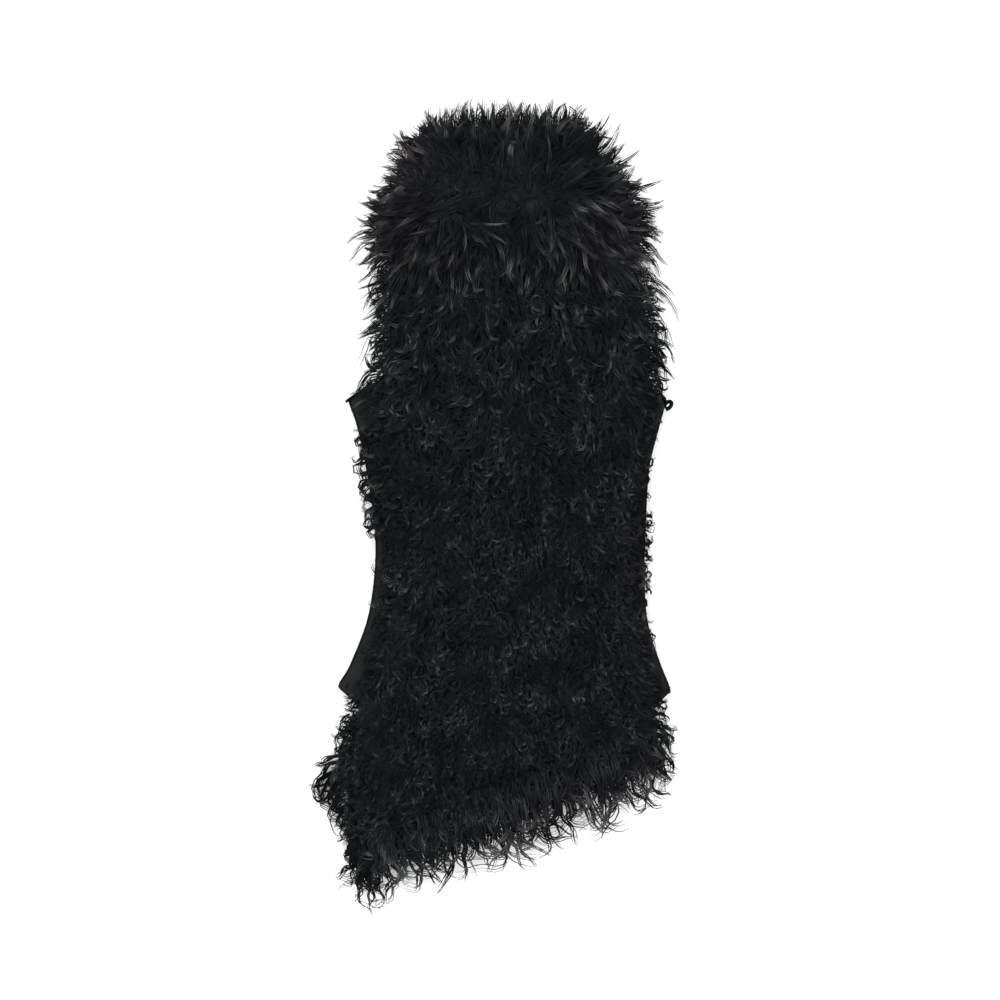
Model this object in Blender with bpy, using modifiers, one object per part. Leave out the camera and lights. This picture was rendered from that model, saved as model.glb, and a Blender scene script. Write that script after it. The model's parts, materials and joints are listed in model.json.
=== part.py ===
"""Long-wool shearling vest, laid flat with its front up.

Two shearling panels lie on each other with their wool outwards. A stretch side panel, folded in half,
joins them at each side between the armhole and the hip. A funnel collar of the same shearling stands on
the neck edge, and free locks of wool fringe the collar, the armholes and the slanting hem.

Metres, +Z up. +Y runs from the hem to the collar and +X to the right of the laid front.
"""

import math
import random
from collections import namedtuple

import bmesh
import bpy
import numpy as np
from mathutils import Vector

# Levels of the laid garment
MID_Z = 0.020            # plane between the front skin and the back skin
SEAM_GAP = 0.0003        # clearance between sewn pieces
SIDE_GAP = 0.0005        # clearance along the curved side seams
SIDE_CLOTH = 0.0012      # thickness of the stretch side cloth
LEAF_OFFSET = 0.0009     # from the mid plane to the middle of each side leaf
OVERHANG_RISE = 0.0018   # from the mid plane to the wool that overhangs a side leaf
COLLAR_RISE = 0.0123     # from the mid plane to the collar wool that overhangs the chest

# Wool
WOOL_EDGE = 0.007        # depth of the wool wall at the rim of a panel
WOOL_OVERHANG = 0.014    # reach of the dense wool past the skin's cut edge
BODY_ROLL = 0.034        # width over which the wool rolls off towards a rim
BACK_ROLL = 0.016
COLLAR_ROLL = 0.055
TUFT_WIDTH = 0.032
TUFT_LENGTH = 0.044
TUFT_DEPTH = 0.011
TUFT_SPREAD = 0.62       # half size of a tuft, as a share of the spacing
TUFT_SHIFT = 0.3         # random shift of a tuft, as a share of the spacing
TUFT_LEAN = 0.6          # random sideways lean of a tuft
RELIEF_FADE = 0.125      # share of a panel over which the tufts rise to full depth

# A section runs straight across a panel from its left rim to its right rim.
# pile is the height of the wool over the mid plane, along the middle of the section.
Section = namedtuple("Section", "name left_x left_y right_x right_y pile")

FRONT_SECTIONS = [
    Section("neck", -0.1152, 0.3084, 0.1344, 0.3084, 0.0090),
    Section("under_collar", -0.1390, 0.2620, 0.1700, 0.2620, 0.0110),
    Section("high_chest", -0.1416, 0.2400, 0.1780, 0.2400, 0.0320),
    Section("armhole", -0.1440, 0.1860, 0.1872, 0.1860, 0.0365),
    Section("underarm", -0.1476, 0.1296, 0.1850, 0.1260, 0.0375),
    Section("bust", -0.1440, 0.0600, 0.1740, 0.0600, 0.0375),
    Section("waist", -0.1332, -0.0720, 0.1620, -0.0780, 0.0350),
    Section("hip", -0.1524, -0.1920, 0.1800, -0.1944, 0.0365),
    Section("slit", -0.1776, -0.2496, 0.1932, -0.2496, 0.0375),
    Section("thigh", -0.1848, -0.3360, 0.1968, -0.2820, 0.0365),
    Section("hem", -0.1704, -0.4512, 0.1920, -0.3120, 0.0300),
]

BACK_SECTIONS = FRONT_SECTIONS[:8] + [
    Section("slit", -0.1800, -0.2496, 0.1932, -0.2496, MID_Z),
    Section("thigh", -0.1968, -0.3420, 0.1956, -0.2780, MID_Z),
    Section("hem", -0.1776, -0.4344, 0.1890, -0.3020, MID_Z),
]

COLLAR_SECTIONS = [
    Section("lower_rim", -0.1224, 0.2652, 0.1560, 0.2652, 0.040),
    Section("fall", -0.1476, 0.2904, 0.1740, 0.2904, 0.055),
    Section("widest", -0.1536, 0.3264, 0.1728, 0.3264, 0.068),
    Section("shoulder", -0.1416, 0.3624, 0.1632, 0.3624, 0.070),
    Section("notch", -0.1212, 0.3912, 0.1404, 0.3912, 0.062),
    Section("crown", -0.1128, 0.4248, 0.1188, 0.4248, 0.054),
    Section("top", -0.0840, 0.4536, 0.0960, 0.4560, 0.044),
]

NECK_Y = FRONT_SECTIONS[0].left_y

# How far the skin's cut edge lies inside the wool's rim: at the sides, the first section and the last.
Inset = namedtuple("Inset", "sides first last")
BODY_INSET = Inset(WOOL_OVERHANG, SEAM_GAP, WOOL_OVERHANG)
COLLAR_INSET = Inset(0.030, NECK_Y + 4 * SEAM_GAP - COLLAR_SECTIONS[0].left_y, 0.036)
COLLAR_BACK_INSET = Inset(0.0285, SEAM_GAP, 0.0345)

# A side panel is folded along its outer edge. seam_y is where a section meets the skin of the front panel.
Leaf = namedtuple("Leaf", "name seam_y fold_x fold_y")

SIDE_LEAVES = {
    "left": [
        Leaf("armhole", 0.1536, -0.1824, 0.1176),
        Leaf("underarm", 0.0960, -0.1716, 0.0864),
        Leaf("ribs", 0.0360, -0.1608, 0.0360),
        Leaf("waist_top", -0.0360, -0.1506, -0.0360),
        Leaf("waist", -0.0900, -0.1512, -0.0900),
        Leaf("high_hip", -0.1440, -0.1596, -0.1440),
        Leaf("hip", -0.1980, -0.1776, -0.1920),
        Leaf("hem", -0.2520, -0.1926, -0.2244),
    ],
    "right": [
        Leaf("armhole", 0.1440, 0.1996, 0.1164),
        Leaf("underarm", 0.0900, 0.1914, 0.0864),
        Leaf("ribs", 0.0360, 0.1794, 0.0360),
        Leaf("waist_top", -0.0360, 0.1752, -0.0360),
        Leaf("waist", -0.0960, 0.1740, -0.0960),
        Leaf("high_hip", -0.1464, 0.1776, -0.1464),
        Leaf("hip", -0.1980, 0.1920, -0.1944),
        Leaf("hem", -0.2544, 0.2064, -0.2292),
    ],
}
LEAF_STATIONS = 26
LEAF_POINTS = 4          # points across one leaf of a folded side panel
FOLD_POINTS = 5          # points round its fold

# Armhole binding: a thin rolled edge on the top of each side panel.
BINDING_RADIUS = 0.0011
BINDING_OFFSET = 0.0013  # from the mid plane to the run on each leaf
BINDING_START = {"left": 0.40, "right": 0.64}  # share of the edge, from the seam, that the wool hides
BINDING_POINTS = 9
BINDING_LOOP = {"left": None, "right": (0.0034, 0.0056)}  # half sizes of the loop that stands off a tip
LOOP_STAND = 0.0026      # from the tip to the near side of that loop
LOOP_POINTS = 20

# Squares of each shearling piece's grid, across and along.
SQUARES = {
    "front_panel": (26, 52),
    "back_panel": (20, 36),
    "collar_front": (24, 16),
    "collar_back": (16, 10),
}

# A fringe is a narrow strip along one rim of a panel with a free lock on each square of that rim.
# start and stop count squares, fan is how far the locks turn from hanging to pointing outwards,
# and drop is how far a tip sinks below its root.
Fringe = namedtuple("Fringe", "node panel rim start stop length fan drop")

FRINGES = [
    Fringe("collar_locks_left", "collar_front", "left", 1, 15, 0.018, 0.95, 0.002),
    Fringe("collar_locks_top", "collar_front", "last", 0, 24, 0.020, 1.00, 0.002),
    Fringe("collar_locks_right", "collar_front", "right", 1, 15, 0.016, 0.95, 0.002),
    Fringe("armhole_locks_left", "front_panel", "left", 4, 13, 0.022, 0.45, 0.000),
    Fringe("armhole_locks_right", "front_panel", "right", 4, 14, 0.016, 0.45, 0.000),
    Fringe("hem_locks_left", "front_panel", "left", 43, 51, 0.022, 0.42, 0.006),
    Fringe("hem_locks_right", "front_panel", "right", 43, 51, 0.018, 0.40, 0.006),
    Fringe("hem_locks_front", "front_panel", "last", 0, 26, 0.036, 0.30, 0.009),
    Fringe("back_locks_waist", "back_panel", "left", 10, 17, 0.034, 0.60, 0.003),
    Fringe("back_locks_left", "back_panel", "left", 30, 35, 0.026, 0.40, 0.004),
    Fringe("back_locks_hem", "back_panel", "last", 0, 20, 0.030, 0.30, 0.005),
]
STRIP_WIDTH = 0.003
STRIP_DEPTH = 0.006
STRIP_CLEAR = 0.0008     # between the strip's lower side and the overhang plane
LOCK_STEPS = ((0.38, 0.86), (0.74, 0.60), (1.00, 0.20))  # share of the length, share of the root's size
LOCK_SPREAD = 0.10       # random turn of a lock, in radians
LOCK_UNEVEN = 0.18       # random share of a lock's length
LOCK_HOOKS = (-0.13, 0.09, 0.22)  # sideways curls at the tip, as shares of the length

GARMENT = "shearling_vest"
WOOL_BLACK = (0.012, 0.013, 0.014, 1.0)
CLOTH_BLACK = (0.017, 0.018, 0.019, 1.0)
BINDING_BLACK = (0.008, 0.008, 0.009, 1.0)


def clear_scene():
    """Remove whatever the open file holds."""
    for obj in list(bpy.data.objects):
        bpy.data.objects.remove(obj)


def material(name, colour, roughness):
    """A plain Principled finish."""
    made = bpy.data.materials.new(name)
    made.use_nodes = True
    shader = made.node_tree.nodes["Principled BSDF"]
    shader.inputs["Base Color"].default_value = colour
    shader.inputs["Roughness"].default_value = roughness
    shader.inputs["Metallic"].default_value = 0.0
    return made


def smooth(knots, values, at):
    """Read a smooth curve through the knots at the given places."""
    knots, values, at = (np.asarray(x, float) for x in (knots, values, at))
    slopes = np.gradient(values, knots)
    i = np.clip(np.searchsorted(knots, at, side="right") - 1, 0, len(knots) - 2)
    span = knots[i + 1] - knots[i]
    t = (at - knots[i]) / span
    rise = (1 + 2 * t) * (1 - t) ** 2 * values[i] + t * t * (3 - 2 * t) * values[i + 1]
    turn = t * (1 - t) ** 2 * slopes[i] - t * t * (1 - t) * slopes[i + 1]
    return rise + span * turn


def ease(share):
    """A round shoulder: 0 at the rim, 1 once the share reaches 1."""
    share = np.clip(share, 0, 1)
    return np.sqrt(1 - (1 - share) ** 2)


class Cut:
    """A panel laid out between its left and right rims, from its first section to its last."""

    def __init__(self, sections, start_y=None):
        """A panel that begins part of the way along its sections names the height it starts at."""
        self.sections = sections
        middles = [((s.left_x + s.right_x) / 2, (s.left_y + s.right_y) / 2) for s in sections]
        steps = [math.dist(a, b) for a, b in zip(middles, middles[1:])]
        self.length = sum(steps)
        self.along = np.concatenate([[0], np.cumsum(steps)]) / self.length
        self.start = 0.0
        if start_y is not None:
            shares = np.linspace(0, 1, 2001)
            self.start = float(np.interp(start_y, self.column("left_y", shares), shares))
            self.length *= 1 - self.start

    def column(self, name, v):
        share = self.start + (1 - self.start) * np.asarray(v, float)
        return smooth(self.along, [getattr(s, name) for s in self.sections], share)

    def rims(self, v):
        left = np.stack([self.column("left_x", v), self.column("left_y", v)], axis=-1)
        right = np.stack([self.column("right_x", v), self.column("right_y", v)], axis=-1)
        return left, right

    def point(self, u, v):
        """The place at share u across and share v along."""
        left, right = self.rims(v)
        return left + (right - left) * np.asarray(u, float)[..., None]

    def width(self, v):
        left, right = self.rims(v)
        return np.linalg.norm(right - left, axis=-1)

    def pile(self, v):
        """Height of the wool along the middle, eased from section to section."""
        i = np.clip(np.searchsorted(self.along, v, side="right") - 1, 0, len(self.along) - 2)
        t = (v - self.along[i]) / (self.along[i + 1] - self.along[i])
        heights = np.array([s.pile for s in self.sections])
        return heights[i] + (heights[i + 1] - heights[i]) * t * t * (3 - 2 * t)

    def inset(self, u, v, inset):
        """Shares of the skin's cut edge that lies inside the rim at u, v."""
        first, last = inset.first / self.length, inset.last / self.length
        inner_v = first + (1 - first - last) * v
        side = inset.sides / self.width(inner_v)
        return side + (1 - 2 * side) * u, inner_v


CUTS = {
    "front_panel": Cut(FRONT_SECTIONS),
    "back_panel": Cut(BACK_SECTIONS),
    "collar_front": Cut(COLLAR_SECTIONS),
    "collar_back": Cut(COLLAR_SECTIONS, start_y=NECK_Y + SEAM_GAP),
}


def tufts(x, y, seed):
    """Relief of wool tufts in staggered rows, from 0 between tufts to 1 on a crest."""
    chance = random.Random(seed)
    relief = np.zeros_like(x)
    rows = int((y.max() - y.min()) / TUFT_LENGTH) + 2
    columns = int((x.max() - x.min()) / TUFT_WIDTH) + 2
    for row in range(rows):
        for column in range(columns):
            step_x = column + 0.5 * (row % 2) + chance.uniform(-TUFT_SHIFT, TUFT_SHIFT)
            step_y = row + chance.uniform(-TUFT_SHIFT, TUFT_SHIFT)
            centre_x = x.min() + step_x * TUFT_WIDTH
            centre_y = y.min() + step_y * TUFT_LENGTH
            lean = chance.uniform(-TUFT_LEAN, TUFT_LEAN)
            across = (x - centre_x - lean * (y - centre_y)) / (TUFT_SPREAD * TUFT_WIDTH)
            down = (y - centre_y) / (TUFT_SPREAD * TUFT_LENGTH)
            relief = np.maximum(relief, 1 - across**2 - down**2)
    return relief


def grid_shares(bm, across, along):
    """Start a panel as a grid whose points carry their shares across and along as layers."""
    u_layer = bm.verts.layers.float.new("u")
    v_layer = bm.verts.layers.float.new("v")
    bmesh.ops.create_grid(bm, x_segments=across, y_segments=along, size=0.5)
    for vert in bm.verts:
        vert[u_layer] = vert.co.x + 0.5
        vert[v_layer] = vert.co.y + 0.5
    return u_layer, v_layer


def add_object(name, data, finish):
    """Link a piece to the garment's collection under its empty."""
    obj = bpy.data.objects.new(name, data)
    data.materials.append(finish)
    bpy.data.collections[GARMENT].objects.link(obj)
    obj.parent = bpy.data.objects[GARMENT]
    return obj


def finish_mesh(bm, name, finish, angle=math.radians(50)):
    """Turn a closed bmesh into a shaded object."""
    bmesh.ops.recalc_face_normals(bm, faces=bm.faces)
    mesh = bpy.data.meshes.new(name)
    bm.to_mesh(mesh)
    bm.free()
    mesh.shade_smooth()
    mesh.set_sharp_from_angle(angle=angle)
    return add_object(name, mesh, finish)


def shearling(name, inset, roll, rim_z, skin_z, side, finish, relief_from=None):
    """A shearling piece: skin and wool in one wall, with the wool's outer form above or below.

    rim_z is the level of the wool that overhangs the skin's edge, skin_z is the skin's inside, and side is
    1 for wool that stands up or -1 for wool that is pressed flat on the floor. Tufts are raised
    from the share relief_from onwards.
    """
    cut = CUTS[name]
    bm = bmesh.new()
    u_layer, v_layer = grid_shares(bm, *SQUARES[name])
    u = np.array([vert[u_layer] for vert in bm.verts])
    v = np.array([vert[v_layer] for vert in bm.verts])
    places = cut.point(u, v)
    from_sides = np.minimum(u, 1 - u) * cut.width(v)
    from_ends = np.minimum(v, 1 - v) * cut.length
    body = ease(from_sides / roll) * ease(from_ends / roll)
    if side > 0:
        edge_z = rim_z + WOOL_EDGE
        crest_z = np.maximum(MID_Z + cut.pile(v), edge_z)
    else:
        edge_z = MID_Z - OVERHANG_RISE - WOOL_EDGE
        crest_z = 0.0
    heights = edge_z + (crest_z - edge_z) * body
    if relief_from is not None:
        fade = np.clip((v - relief_from) / RELIEF_FADE, 0, 1) * body
        heights += fade * TUFT_DEPTH * (tufts(places[:, 0], places[:, 1], name) - 1)
    for vert, (x, y), z in zip(bm.verts, places, heights):
        vert.co = (x, y, z)
    # The rim drops to the overhang, runs in to the skin's cut edge and drops to its inside.
    edges = [edge for edge in bm.edges if edge.is_boundary]
    for inner, level in ((False, rim_z), (True, rim_z), (True, skin_z)):
        made = bmesh.ops.extrude_edge_only(bm, edges=edges)["geom"]
        edges = [part for part in made if isinstance(part, bmesh.types.BMEdge)]
        for vert in (part for part in made if isinstance(part, bmesh.types.BMVert)):
            shares = vert[u_layer], vert[v_layer]
            x, y = cut.point(*(cut.inset(*shares, inset) if inner else shares))
            vert.co = (x, y, level)
    bmesh.ops.edgeloop_fill(bm, edges=edges)
    return finish_mesh(bm, name, finish)


def skin_edge_x(side, y):
    """X of the skins' cut edges at height y, where a side panel is sewn on: the outer of front and back."""
    v = np.linspace(0, 1, 400)
    u = np.full_like(v, 0.0 if side == "left" else 1.0)
    edges = []
    for name in ("front_panel", "back_panel"):
        cut = CUTS[name]
        edge = cut.point(*cut.inset(u, v, BODY_INSET))
        edges.append(np.interp(-np.asarray(y), -edge[:, 1], edge[:, 0]))
    return min(edges) if side == "left" else max(edges)


def leaf_lines(side, share):
    """Seam point and fold point of a side panel at a share of its length."""
    rows = SIDE_LEAVES[side]
    knots = np.linspace(0, 1, len(rows))
    seam_y = smooth(knots, [row.seam_y for row in rows], share)
    fold = [smooth(knots, [getattr(row, name) for row in rows], share) for name in ("fold_x", "fold_y")]
    outwards = -1 if side == "left" else 1
    seam_x = skin_edge_x(side, seam_y) + outwards * SIDE_GAP
    return np.array([seam_x, seam_y]), np.array(fold)


def fold_profile(length):
    """(reach from the seam, height over the mid plane) of the folded cloth, upper leaf first."""
    flat = length - LEAF_OFFSET - SIDE_CLOTH / 2
    upper = [(flat * i / LEAF_POINTS, LEAF_OFFSET) for i in range(LEAF_POINTS)]
    turns = [math.pi * i / (FOLD_POINTS - 1) for i in range(FOLD_POINTS)]
    fold = [(flat + LEAF_OFFSET * math.sin(a), LEAF_OFFSET * math.cos(a)) for a in turns]
    lower = [(reach, -height) for reach, height in reversed(upper)]
    return upper + fold + lower


def side_panel(side, finish):
    """A stretch side panel: one cloth folded lengthwise, its two leaves sewn to the front and the back."""
    bm = bmesh.new()
    u_layer, v_layer = grid_shares(bm, 2 * LEAF_POINTS + FOLD_POINTS - 1, LEAF_STATIONS)
    for vert in bm.verts:
        seam, fold = leaf_lines(side, vert[v_layer])
        span = fold - seam
        length = float(np.linalg.norm(span))
        profile = fold_profile(length)
        reach, height = profile[round(vert[u_layer] * (len(profile) - 1))]
        x, y = seam + span * reach / length
        vert.co = (x, y, MID_Z + height)
    obj = finish_mesh(bm, f"side_panel_{side}", finish)
    wall = obj.modifiers.new("cloth", "SOLIDIFY")
    wall.thickness = SIDE_CLOTH
    wall.offset = 0.0
    return obj


def binding_path(side):
    """Centreline of an armhole binding: out along the upper leaf, round the tip and back along the lower."""
    seam, tip = leaf_lines(side, 0.0)
    out = (tip - seam) / np.linalg.norm(tip - seam)
    up = np.array([-out[1], out[0]]) * (1 if side == "right" else -1)
    lift = up * (BINDING_RADIUS + 2 * SEAM_GAP)
    start = seam + (tip - seam) * BINDING_START[side] + lift
    loop = BINDING_LOOP[side]
    end = tip + lift + (out * LOOP_STAND if loop else 0)
    shares = np.linspace(0, 1, BINDING_POINTS)
    runs = [start + (end - start) * s for s in shares]
    upper = [(x, y, MID_Z + BINDING_OFFSET) for x, y in runs]
    lower = [(x, y, MID_Z - BINDING_OFFSET) for x, y in reversed(runs)]
    turn = []
    for i in range(1, LOOP_POINTS):
        share = i / LOOP_POINTS
        height = MID_Z + BINDING_OFFSET * math.cos(math.pi * share)
        if loop is None:
            place = end + out * BINDING_OFFSET * math.sin(math.pi * share)
        else:
            angle = 2 * math.pi * share
            place = end + out * loop[0] * (1 - math.cos(angle)) - up * loop[1] * math.sin(angle)
        turn.append((*place, height))
    return upper + turn + lower


def armhole_binding(side, finish):
    """The rolled edge of an armhole where the wool leaves it bare."""
    points = binding_path(side)
    curve = bpy.data.curves.new(f"armhole_binding_{side}", "CURVE")
    curve.dimensions = "3D"
    curve.bevel_depth = BINDING_RADIUS
    curve.bevel_resolution = 1
    curve.use_fill_caps = True
    spline = curve.splines.new("POLY")
    spline.points.add(len(points) - 1)
    for knot, place in zip(spline.points, points):
        knot.co = (*place, 1.0)
    return add_object(curve.name, curve, finish)


def rim_line(fringe):
    """Corners of a panel's rim that a fringe covers and the outward direction at each."""
    cut = CUTS[fringe.panel]
    across, along = SQUARES[fringe.panel]
    squares = across if fringe.rim == "last" else along
    shares = np.arange(squares + 1) / squares
    ends = np.ones_like(shares)
    u, v = {"left": (0 * shares, shares), "right": (ends, shares), "last": (shares, ends)}[fringe.rim]
    points = cut.point(u, v)
    tangents = np.gradient(points, axis=0)
    normals = np.stack([-tangents[:, 1], tangents[:, 0]], axis=1)
    normals /= np.linalg.norm(normals, axis=1)[:, None]
    inside = cut.point(np.full_like(u, 0.5), np.minimum(v, 0.9))
    away = ((points - inside) * normals).sum(axis=1) > 0
    normals = np.where(away[:, None], normals, -normals)
    kept = slice(fringe.start, fringe.stop + 1)
    return points[kept], normals[kept]


def lock_course(fringe, chance, outwards):
    """Direction of a lock in plan and the sideways direction of its hook."""
    hang = np.array([0.0, -1.0]) if not fringe.panel.startswith("collar") else outwards
    course = fringe.fan * outwards + (1 - fringe.fan) * hang
    turn = math.atan2(course[1], course[0]) + chance.uniform(-LOCK_SPREAD, LOCK_SPREAD)
    course = np.array([math.cos(turn), math.sin(turn)])
    return course, np.array([-course[1], course[0]])


def grow_lock(bm, face, fringe, chance, outwards):
    """Extrude one face of a strip into a tapering lock with a hooked tip."""
    course, aside = lock_course(fringe, chance, outwards)
    length = fringe.length * (1 + chance.uniform(-LOCK_UNEVEN, LOCK_UNEVEN))
    hook = length * chance.choice(LOCK_HOOKS)
    root = face.calc_center_median()
    corners = {}
    corner_layer = bm.verts.layers.int["corner"]
    for number, vert in enumerate(face.verts):
        vert[corner_layer] = number
        corners[number] = vert.co - root
    for share, size in LOCK_STEPS:
        face = bmesh.ops.extrude_discrete_faces(bm, faces=[face])["faces"][0]
        plan = course * length * share + aside * hook * share**3
        centre = root + Vector((*plan, -fringe.drop * share))
        for vert in face.verts:
            vert.co = centre + corners[vert[corner_layer]] * size


def lock_fringe(fringe, finish):
    """A narrow strip beside a rim with one lock for each of its stretches."""
    rim_z = {"front_panel": MID_Z + OVERHANG_RISE, "collar_front": MID_Z + COLLAR_RISE}
    low = rim_z.get(fringe.panel, MID_Z - OVERHANG_RISE - STRIP_DEPTH - 2 * STRIP_CLEAR) + STRIP_CLEAR
    bm = bmesh.new()
    bm.verts.layers.int.new("corner")
    outer_layer = bm.verts.layers.float.new("outer")
    locks = fringe.stop - fringe.start
    bmesh.ops.create_grid(bm, x_segments=locks, y_segments=1, size=0.5)
    points, normals = rim_line(fringe)
    for vert in bm.verts:
        station = round((vert.co.x + 0.5) * locks)
        vert[outer_layer] = vert.co.y + 0.5
        reach = SEAM_GAP + STRIP_WIDTH * vert[outer_layer]
        vert.co = (*(points[station] + normals[station] * reach), low)
    made = bmesh.ops.extrude_face_region(bm, geom=list(bm.faces))["geom"]
    for vert in (part for part in made if isinstance(part, bmesh.types.BMVert)):
        vert.co.z += STRIP_DEPTH
    bmesh.ops.recalc_face_normals(bm, faces=bm.faces)
    outer = [face for face in bm.faces if all(vert[outer_layer] > 0.5 for vert in face.verts)]
    outer.sort(key=lambda face: tuple(round(value, 4) for value in face.calc_center_median()))
    chance = random.Random(fringe.node)
    for face in outer:
        outwards = np.array(face.normal[:2]) / np.linalg.norm(face.normal[:2])
        grow_lock(bm, face, fringe, chance, outwards)
    return finish_mesh(bm, fringe.node, finish)


def centre_on_floor():
    """Move the garment's empty so that the middle of its footprint is the origin."""
    bpy.context.view_layer.update()
    graph = bpy.context.evaluated_depsgraph_get()
    points = []
    for obj in bpy.data.collections[GARMENT].objects:
        if obj.type != "EMPTY":
            points += [tuple(vert.co) for vert in obj.evaluated_get(graph).to_mesh().vertices]
    low, high = np.min(points, axis=0), np.max(points, axis=0)
    bpy.data.objects[GARMENT].location = (-(low[0] + high[0]) / 2, -(low[1] + high[1]) / 2, -low[2])
    bpy.context.view_layer.update()


def build():
    clear_scene()
    collection = bpy.data.collections.new(GARMENT)
    bpy.context.scene.collection.children.link(collection)
    collection.objects.link(bpy.data.objects.new(GARMENT, None))

    wool = material("black_long_wool", WOOL_BLACK, 0.75)
    cloth = material("black_stretch_cloth", CLOTH_BLACK, 0.80)
    edging = material("black_binding", BINDING_BLACK, 0.60)

    half_gap = SEAM_GAP / 2
    shearling("front_panel", BODY_INSET, BODY_ROLL, MID_Z + OVERHANG_RISE, MID_Z + half_gap, 1, wool,
              relief_from=0.10)
    shearling("back_panel", BODY_INSET, BACK_ROLL, MID_Z - OVERHANG_RISE, MID_Z - half_gap, -1, wool)
    shearling("collar_front", COLLAR_INSET, COLLAR_ROLL, MID_Z + COLLAR_RISE, MID_Z + half_gap, 1, wool,
              relief_from=0.0)
    shearling("collar_back", COLLAR_BACK_INSET, BACK_ROLL, MID_Z + COLLAR_RISE - SEAM_GAP, MID_Z - half_gap,
              -1, wool)
    for side in SIDE_LEAVES:
        side_panel(side, cloth)
        armhole_binding(side, edging)
    for fringe in FRINGES:
        lock_fringe(fringe, wool)
    centre_on_floor()


build()
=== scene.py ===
"""Dresses the laid shearling vest: skins, long curly wool, stretch side panels and bound armholes.

Everything is in metres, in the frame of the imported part: +Y from the hem to the collar, +X to the right of
the laid front and +Z up off the floor. The wool is rooted on the part's own solids, so it follows their form.
"""

import json
import logging
import math
from contextlib import contextmanager
from dataclasses import dataclass, field, replace
from enum import Enum
from pathlib import Path
from typing import Any, Iterator, Optional, Sequence

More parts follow.
